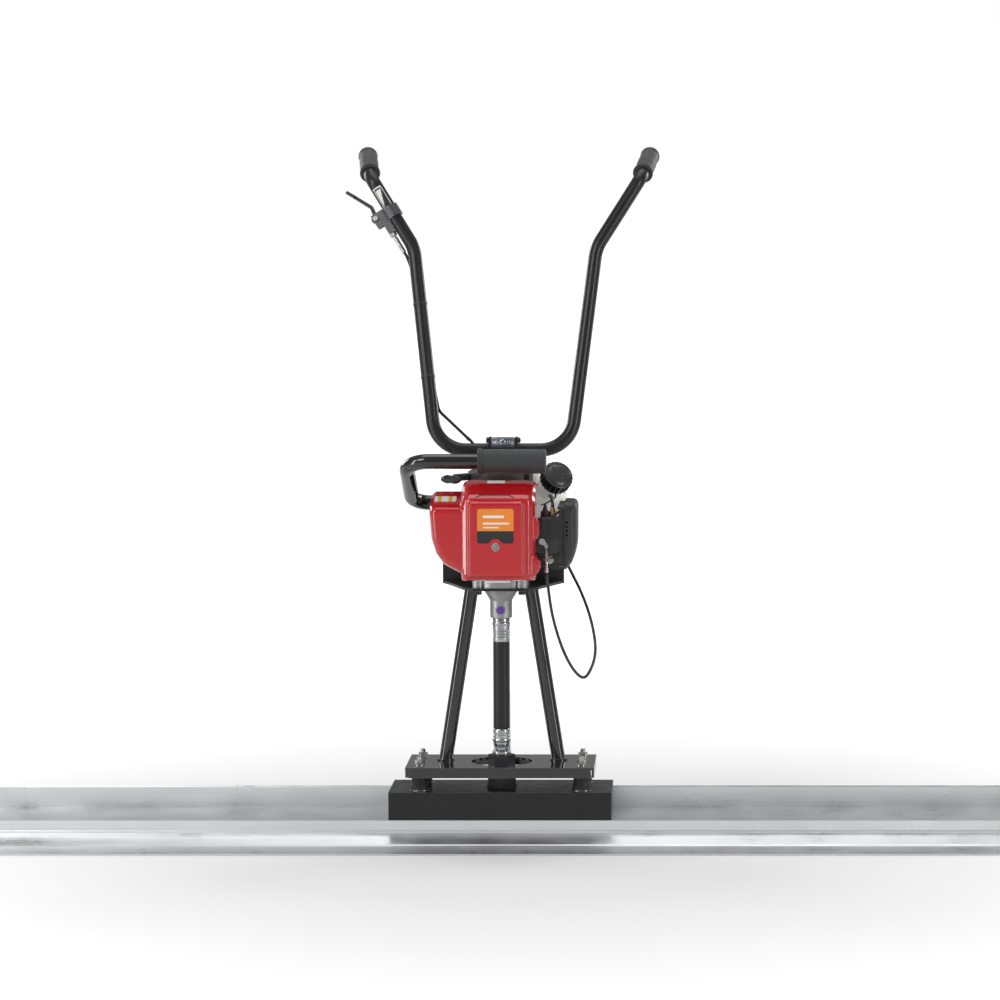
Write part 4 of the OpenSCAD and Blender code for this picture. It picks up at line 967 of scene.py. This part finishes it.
def fuel_cap():
    at = aim(cap_c, cap_d)
    prof = [(0, 7.0), (18.8, 7.0), (19.3, 6.0), (19.3, -7.5), (24.0, -7.5)]
    prof += arc(24.0, -6.5, 1.0, -90, 0, 3) + [(25.0, 0), (25.0, 6), (25.0, 10)]
    prof += arc(22.4, 10.2, 2.6, 0, 80, 6)
    prof += [(21.0, 12.9), (20.2, 12.2), (19.4, 12.2), (18.6, 12.9), (12, 13.6), (8, 13.8), (7.4, 13.3),
             (6.6, 13.3), (6, 13.9), (0, 14.0)]
    ribs = 22

    def wobble(a, i, z):
        ribbed = 6 <= i <= 15 and z < 12.4
        return 2.2 * max(0.0, math.cos(ribs * a)) ** 2 - 1.5 if ribbed else 0

    bm = bmesh.new()
    lathe(bm, prof, at, ribs * 10, wobble=wobble)
    finish(bm, "fuel_cap_moulding", "cap_plastic", "fuel_cap", stands_for="fuel_cap", angle=38)
    # raised bars across the top for a grip
    bm = bmesh.new()
    for k in range(6):
        rbox(bm, (8.6, -0.9, 13.2), (17.6, 0.9, 14.1), 0.4, 2, at @ turned(60 * k + 12, "Z"))
    finish(bm, "fuel_cap_bars", "cap_plastic", "fuel_cap")
    # breather hose behind the cap
    bm = bmesh.new()
    link = [at @ V(0, -21, -6), at @ V(4, -27, -12), cap_c + V(-16, 4, -40), cap_c + V(-24, 18, -44)]
    sweep(bm, spline(link), 1.2, 10)
    finish(bm, "tank_breather", "cable_sheath")


fuel_cap()

# ---------------------------------------- handlebar, grips, carry handle

TILT = Vector(JOINTS["handlebar_tilt"]["pos_m"]) / MM
BAR_R = 11.0
p1 = V(109.2, TILT.y, TILT.z)
p2 = p1 + V(40, 93.4, 325)
p3 = p2 + V(73.4, 29.6, 116.1)
gdir = V(0.115, 0.945, 0.305).normalized()
p4 = p3 + gdir * 119.0
GRIP_FOOT = p3 + gdir * 20


def flip(v):
    """The same point or direction on the left."""
    return V(-v.x, v.y, v.z)


bm = bmesh.new()
path = fillet_path([flip(p4), flip(p3), flip(p2), flip(p1), p1, p2, p3, p4],
                   [0, 30, 70, 55, 55, 70, 30, 0], 14)
sweep(bm, subdivide(path, 14), BAR_R, 40)
finish(bm, "handlebar_tube", "black_paint", "handlebar", stands_for="handlebar")


def hand_grip(name, foot, direction, node):
    length, n = 107.0, 46
    at = aim(foot, direction, (0, 0, 1))
    prof = [(11.05, 0.4), (14.6, 0)] + arc(14.9, 1.6, 1.6, -60, 60, 5)
    prof += [(16.2, 3.6), (16.0, 5.0), (15.2, 6.2), (14.9, 7.0), (15.3, 8.0)]
    for k in range(n + 1):
        z = 9 + (length - 9 - 17) * k / n
        swell = 0.75 * math.sin(math.pi * min(1, max(0, (z - 9) / 78))) ** 2
        groove = -0.32 if k % 3 == 0 and 2 < k < n - 1 else 0
        prof.append((14.8 + swell * 0.9 + groove, z))
    prof.append((15.7, length - 16))
    for k in range(12):
        a = math.radians(7.5 * k)
        prof.append((16.1 * math.cos(a), length - 14 + 14 * math.sin(a)))
    prof.append((0, length))

    def wobble(a, i, z):
        """Soft finger waves on the underside."""
        if not 12 < z < length - 20:
            return 0
        return 0.55 * max(0.0, -math.cos(a)) * math.cos(2 * math.pi * (z - 12) / 22)

    bm = bmesh.new()
    lathe(bm, prof, at, 56, wobble=wobble)
    finish(bm, name, "grip_rubber", "handlebar", stands_for=node, angle=50)
    bm = bmesh.new()
    can(bm, 16.7, 0.6, 3.4, at, 1.0, 56, hole=11.1)
    finish(bm, name + "_ring", "black_plastic", "handlebar")


hand_grip("grip_sleeve_right", GRIP_FOOT, gdir, "grip_right")
hand_grip("grip_sleeve_left", flip(GRIP_FOOT), flip(gdir), "grip_left")

# marker sticker on the left upper tube: a pale frame, a dark field and a pale wedge
t_up = flip(p3 - p2).normalized()
marker_at = aim(flip(p2) + t_up * 97, t_up, (0, -1, 0))


def bar_sticker(name, look, rows, lift, film):
    """Patch on the tube: rows of (height, first angle, last angle), lifted off the paint."""
    r = BAR_R + lift
    bm = bmesh.new()
    grid = []
    for z, a0, a1 in rows:
        angles = [math.radians(a0 + (a1 - a0) * k / 10) for k in range(11)]
        grid.append([bm.verts.new((marker_at @ V(r * math.cos(a), r * math.sin(a), z)) * MM) for a in angles])
    for a, b in zip(grid, grid[1:]):
        for k in range(10):
            bm.faces.new((a[k], a[k + 1], b[k + 1], b[k]))
    o = finish(bm, name, look, None)
    thicken(o, film, 1)
    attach(o, "handlebar")


bar_sticker("bar_marker", "pale_label", [(z, -42, 42) for z in (-21, -10, 0, 10, 21)], 0.02, 0.16)
bar_sticker("bar_marker_field", "black_plastic", [(z, -34, 34) for z in (-18.5, -9, 0, 9, 18.5)], 0.2, 0.1)
bar_sticker("bar_marker_wedge", "pale_label", [(z, -28, -1 + 1.625 * z) for z in (-16, -8, 0, 8, 16)],
            0.32, 0.08)

# bright shim between the clamp ears, as a folded plate with a round-headed screw
bm = bmesh.new()
x = 17.4
rbox(bm, (-x, TILT.y - 11.8, TILT.z + 8), (x, TILT.y - 10.6, TILT.z + 20), 0.5, 2)
rbox(bm, (-x, TILT.y - 11.8, TILT.z + 19), (x, TILT.y + 9, TILT.z + 20.6), 0.5, 2)
can(bm, 4.6, 0, 3.2, aim((0, TILT.y - 11.6, TILT.z + 14), (0, -1, 0)), 1.2, 28)
for dx in (9.5, -9.5):
    can(bm, 2.0, 0, 3.8, aim((dx, TILT.y - 11.6, TILT.z + 14), (0, -1, 0)), 0.5, 16)
finish(bm, "clamp_shim", "bright_zinc")

# carry handle
LY, LZ, LX = -75.0, 618.0, -146.0
back = 65.0
bm = bmesh.new()
path = fillet_path([(-60, back, 541), (LX, back, 541), (LX, LY, LZ), (74, LY, LZ)], [0, 28, 36, 0], 14)
sweep(bm, subdivide(path, 12), 12.0, 40)
can(bm, 15, 0, 5, aim((-58, back, 541), (-1, 0, 0)), 1.5, 36)
finish(bm, "carry_handle_tube", "black_gloss", stands_for="lifting_handle")
# its rubber sleeve, with a collar and four faint flats
lo, hi = BOX["lifting_grip"]
at = aim((lo.x, LY, LZ), (1, 0, 0), (0, 0, 1))
length = hi.x - lo.x
bm = bmesh.new()
prof = [(12.1, 0.3), (20.0, 0.0)] + arc(20.2, 1.6, 1.4, -60, 60, 4)
prof += [(21.4, 3.0), (21.4, 5.5), (20.6, 6.8), (19.4, 7.4), (19.2, 8.4), (19.9, 9.4)]
n = 30
for k in range(n + 1):
    prof.append((19.6 + 0.4 * math.sin(math.pi * k / n), 11 + (length - 19) * k / n))
prof += [(19.9, length - 6)] + arc(17.4, length - 2.6, 2.5, 0, 85, 6)
prof += [(12, length - 0.4), (0, length - 0.3)]
lathe(bm, prof, at, 56,
      wobble=lambda a, i, z: -0.5 * max(0.0, math.cos(2 * a)) ** 8 if 9 < z < length - 5 else 0)
finish(bm, "carry_grip_sleeve", "grip_rubber", stands_for="lifting_grip", angle=50)

# ---------------------------------------- rubber mounts

lo, hi = BOX["isolators"]
z0, z1 = lo.z, hi.z
r = 16.5
MOUNTS = [at_xyz(sx * (hi.x - r), sy * (hi.y - r)) for sx in (-1, 1) for sy in (-1, 1)]
prof = [(0, z0), (r - 1.2, z0)]
for k in range(15):
    t = k / 14
    prof.append((r - 0.4 - 3.2 * math.sin(math.pi * t) ** 0.8, z0 + 1.2 + (z1 - z0 - 2.4) * t))
prof += [(r - 1.2, z1), (0, z1)]
bm = bmesh.new()
for c in MOUNTS:
    lathe(bm, prof, c, 48)
finish(bm, "rubber_mounts", "isolator_rubber", stands_for="isolators", angle=50)
# steel plates bonded to both ends
bm = bmesh.new()
for c in MOUNTS:
    can(bm, r - 0.3, z0 - 0.05, z0 + 1.4, c, 0.5, 48)
    can(bm, r - 0.3, z1 - 1.4, z1 + 0.05, c, 0.5, 48)
finish(bm, "mount_plates", "zinc")

# ---------------------------------------- flexible drive

# wound rubber hose
lo, hi = BOX["drive_hose"]
z0, z1, r = lo.z, hi.z, hi.x
bm = bmesh.new()
prof = [(8.1, z0 + 0.1), (r - 0.6, z0 + 0.1)]
for k in range(71):
    prof.append((r - 0.12 - 0.10 * (-1) ** k, z0 + 0.6 + (z1 - z0 - 1.2) * k / 70))
prof += [(r - 0.6, z1 - 0.1), (8.1, z1 - 0.1)]
lathe(bm, prof, UP, 64, closed=True)
finish(bm, "drive_hose_cover", "hose_rubber", stands_for="drive_hose")


def ferrule(z_end, z_hose):
    """Crimped sleeve from the hose end outwards, with grooves and a bulged rim."""
    length = abs(z_end - z_hose)
    p = [(8.0, 0), (13.0, 0), (13.6, 0.8), (13.8, 2), (13.8, 5)]
    for g in (7.0, 12.0, 17.0):
        if g + 4 < length - 14:
            p += [(13.8, g), (13.25, g + 0.7), (13.25, g + 2.2), (13.8, g + 2.9)]
    for r, back in ((13.8, 13), (14.6, 12), (14.9, 10), (14.9, 8.5), (14.3, 7.2), (13.7, 6.5), (13.7, 1.2),
                    (13.0, 0), (8.0, 0)):
        p.append((r, length - back))
    return [(r, z_hose + math.copysign(h, z_end - z_hose)) for r, h in p]


bm = bmesh.new()
lathe(bm, ferrule(154, z0), UP, 64, closed=True)
lathe(bm, ferrule(362, z1), UP, 64, closed=True)
hexhead(bm, 22, 146, 154)
can(bm, 15, 140, 146, UP, 0.8, 48, hole=8)
can(bm, 11, 361.5, 380, UP, 0.6, 48, hole=8)
finish(bm, "crimped_ferrules", "ferrule_zinc", stands_for="hose_ferrules")

# ribs and collar bead of the cast bell
bm = bmesh.new()
zb, zt = (v.z for v in BOX["adapter_bell"])
can(bm, 14.9, zb - 0.2, zb + 5, UP, 1.2, 48, hole=13.8)
for k in range(8):
    prism(bm, [(13.8, zb + 20), (16.0, zb + 22), (26.5, zt - 4), (27.5, zt - 2.2), (22, zt - 2.2)], -1.5, 1.5,
          turned(22.5 + 45 * k, "Z") @ UPRIGHT, r=0.6, segs=2)
finish(bm, "bell_ribs", "cast_alloy")

# ---------------------------------------- cables


def sheath(name, path, r, body, node=None):
    bm = bmesh.new()
    sweep(bm, path, r, 18)
    return finish(bm, name, "cable_sheath", body, stands_for=node)


n_up = t_up.cross(V(0, 1, 0)).normalized()
y_up = t_up.cross(n_up)
anchor = flip(p2) + t_up * 75


def lever_pt(x, y, z):
    return anchor + n_up * x + y_up * y + t_up * z


f1 = flip(p1)
upper = [lever_pt(17.5, 0, -70), lever_pt(17.5, 0, -80), lever_pt(21, -10, -92), f1 + V(-32, 92, 258),
         f1 + V(-7, 46, 108), f1 + V(3.5, 26, 62), f1 + V(52, 16, 17)]
upath = fillet_path(upper, [0, 10, 20, 60, 40, 22, 0], 10)
sheath("throttle_sheath_upper", upath, 2.4, "handlebar", "throttle_cable_upper")
# behind the engine, then a hanging loop back up to the carburettor
side_pt, end_pt = (104, 60, 452), (76, -80, 446)
lpath = fillet_path([(-38, 103, 609), (-28, 91, 555), (40, 87, 490), (100, 86, 472), side_pt],
                    [0, 30, 60, 14, 0], 10)
lpath = lpath[:-1] + spline([side_pt, (107, 42, 440), (127, 10, 404), (142, -14, 368), (151, -32, 330),
                             (151, -44, 302), (141, -53, 277), (130, -58, 273), (114, -65, 292),
                             (98, -72, 328), (85, -78, 376), (78, -80, 425), end_pt])
sheath("throttle_sheath_lower", lpath, 2.4, "frame", "throttle_cable_lower")
end_dir = (upath[-1] - upath[-2]).normalized()
start_dir = (lpath[1] - lpath[0]).normalized()
a, b = upath[-1], lpath[0]
link = [a - end_dir * 3, a, a + end_dir * 8, b - start_dir * 10, b, b + start_dir * 3]
o = sheath("throttle_sheath_bridge", spline(link, 10), 2.42, None)
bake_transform(o)
bm = bmesh.new()
lathe(bm, [(0, -4.2), (2.45, -4), (3.3, -3.6), (3.5, -2), (3.5, 4), (3.0, 4.8), (3.0, 6.4), (3.6, 7.2),
           (3.6, 12), (2.4, 14), (1.5, 16), (0, 16)], at_xyz(*end_pt), 32)
finish(bm, "cable_end_sleeve", "ferrule_zinc")
bm = bmesh.new()
lathe(bm, [(2.45, -3), (2.9, -2.6), (2.9, 2.6), (2.45, 3)], aim(upath[-1], end_dir), 24, closed=True)
finish(bm, "sheath_joint_cap", "black_plastic", "handlebar")

# cable ties on the handlebar tube
bm = bmesh.new()
for t in (0.36, 0.72):
    at = aim(flip(p1.lerp(p2, t)), flip(p2 - p1))
    lathe(bm, [(BAR_R, -1.6), (11.7, -1.6), (11.7, 1.6), (BAR_R, 1.6)], at, 48, closed=True)
finish(bm, "cable_ties", "black_plastic", "handlebar")

# starter rope: a straight cord between the outlet and the grip
rope_start = mid("starter_rope") - pull * 35
rope_end = bar_at - pull * 4
rope_end.z = rope_start.z
rope = [rope_start.lerp(rope_end, k / 24) for k in range(25)]
bm = bmesh.new()
sweep(bm, rope, 1.8, 14)
o = finish(bm, "starter_cord", "rope", None, stands_for="starter_rope")
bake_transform(o)

# ---------------------------------------- floor, light, camera

bm = bmesh.new()
bmesh.ops.create_grid(bm, x_segments=1, y_segments=1, size=60)
floor = as_object(bm, "floor")
floor.location.z = CAD_LO.z - 0.0005
t = Tree("pale_floor")
t.set("Base Color", t.mix(t.noise(1.5, 2), (0.76, 0.76, 0.76), (0.78, 0.78, 0.78)))
t.set("Roughness", 0.8)
t.set("Specular IOR Level", 0.1)
# the floor melts into the bright studio wall away from the machine
far = t.put("ShaderNodeVectorMath", {0: t.put("ShaderNodeNewGeometry").outputs["Position"]},
            operation="LENGTH").outputs["Value"]
t.set("Emission Color", (1, 1, 1, 1))
glow = t.ramp(far, 0.5, 3.2, 0.08, 0.97)
in_view = t.put("ShaderNodeLightPath").outputs["Is Camera Ray"]
t.set("Emission Strength", t.math("MULTIPLY", glow, t.ramp(in_view, 0, 1, 0.25, 1)))
floor.data.materials.append(t.mat)
floor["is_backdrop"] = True

world = bpy.data.worlds.new("studio")
bpy.context.scene.world = world
world.use_nodes = True
nt = world.node_tree
bg = nt.nodes["Background"]
bg.inputs["Color"].default_value = (1, 1, 1, 1)
# the studio wall is seen brighter than it lights
seen = nt.nodes.new("ShaderNodeLightPath").outputs["Is Camera Ray"]
level = nt.nodes.new("ShaderNodeMapRange")
level.inputs["To Min"].default_value = 0.24
level.inputs["To Max"].default_value = 1.0
nt.links.new(seen, level.inputs["Value"])
nt.links.new(level.outputs[0], bg.inputs["Strength"])
bpy.context.scene.view_settings.view_transform = "Standard"
bpy.context.scene.view_settings.look = "None"


def area(name, loc, target, size, power, size_y=None):
    l = bpy.data.lights.new(name, "AREA")
    l.energy = power
    l.size = size
    if size_y:
        l.shape = "RECTANGLE"
        l.size_y = size_y
    o = bpy.data.objects.new(name, l)
    bpy.context.scene.collection.objects.link(o)
    o.location = loc
    o.rotation_euler = (Vector(target) - Vector(loc)).to_track_quat("-Z", "Y").to_euler()


area("key", (-2.6, -3.2, 3.4), (0, 0, 0.5), 1.8, 62)
area("fill", (3.4, -2.6, 2.2), (0, 0, 0.6), 1.6, 26)
area("top", (0.2, 0.6, 4.2), (0, 0, 0.4), 3.0, 48)
for side, x in (("left", -2.4), ("right", 2.4)):
    area(f"rim_{side}", (x, 2.4, 1.6), (0, 0, 0.7), 1.4, 30)
# tall strips draw the long highlights on the tubes
area("strip_left", (-2.2, -1.2, 1.0), (0, 0, 0.6), 0.35, 20, 2.2)
area("strip_right", (2.4, -1.6, 1.0), (0, 0, 0.6), 0.35, 16, 2.2)

cam = bpy.data.cameras.new("camera")
cam_o = bpy.data.objects.new("camera", cam)
bpy.context.scene.collection.objects.link(cam_o)
bpy.context.scene.camera = cam_o
CAM_X, CAM_Y, CAM_Z = 0.318, -6.065, 1.060
DIP = 4.8
SHIFT = -0.1992
cam.sensor_width = 36
cam.lens = 136.8
cam.clip_end = 200
cam_o.location = (CAM_X, CAM_Y, CAM_Z)
cam_o.rotation_euler = (math.radians(90 - DIP), 0, 0)
cam.shift_x = SHIFT
# the lens shift belongs to this camera place only, so it goes when the camera is moved
d = cam.driver_add("shift_x").driver
d.type = "SCRIPTED"
for axis in "xy":
    v = d.variables.new()
    v.name = axis
    v.targets[0].id = cam_o
    v.targets[0].data_path = f"location.{axis}"
d.expression = f"{SHIFT} if abs(x - {CAM_X}) < 0.0001 and abs(y + {-CAM_Y}) < 0.0001 else 0.0"

bpy.context.view_layer.update()
lo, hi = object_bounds()
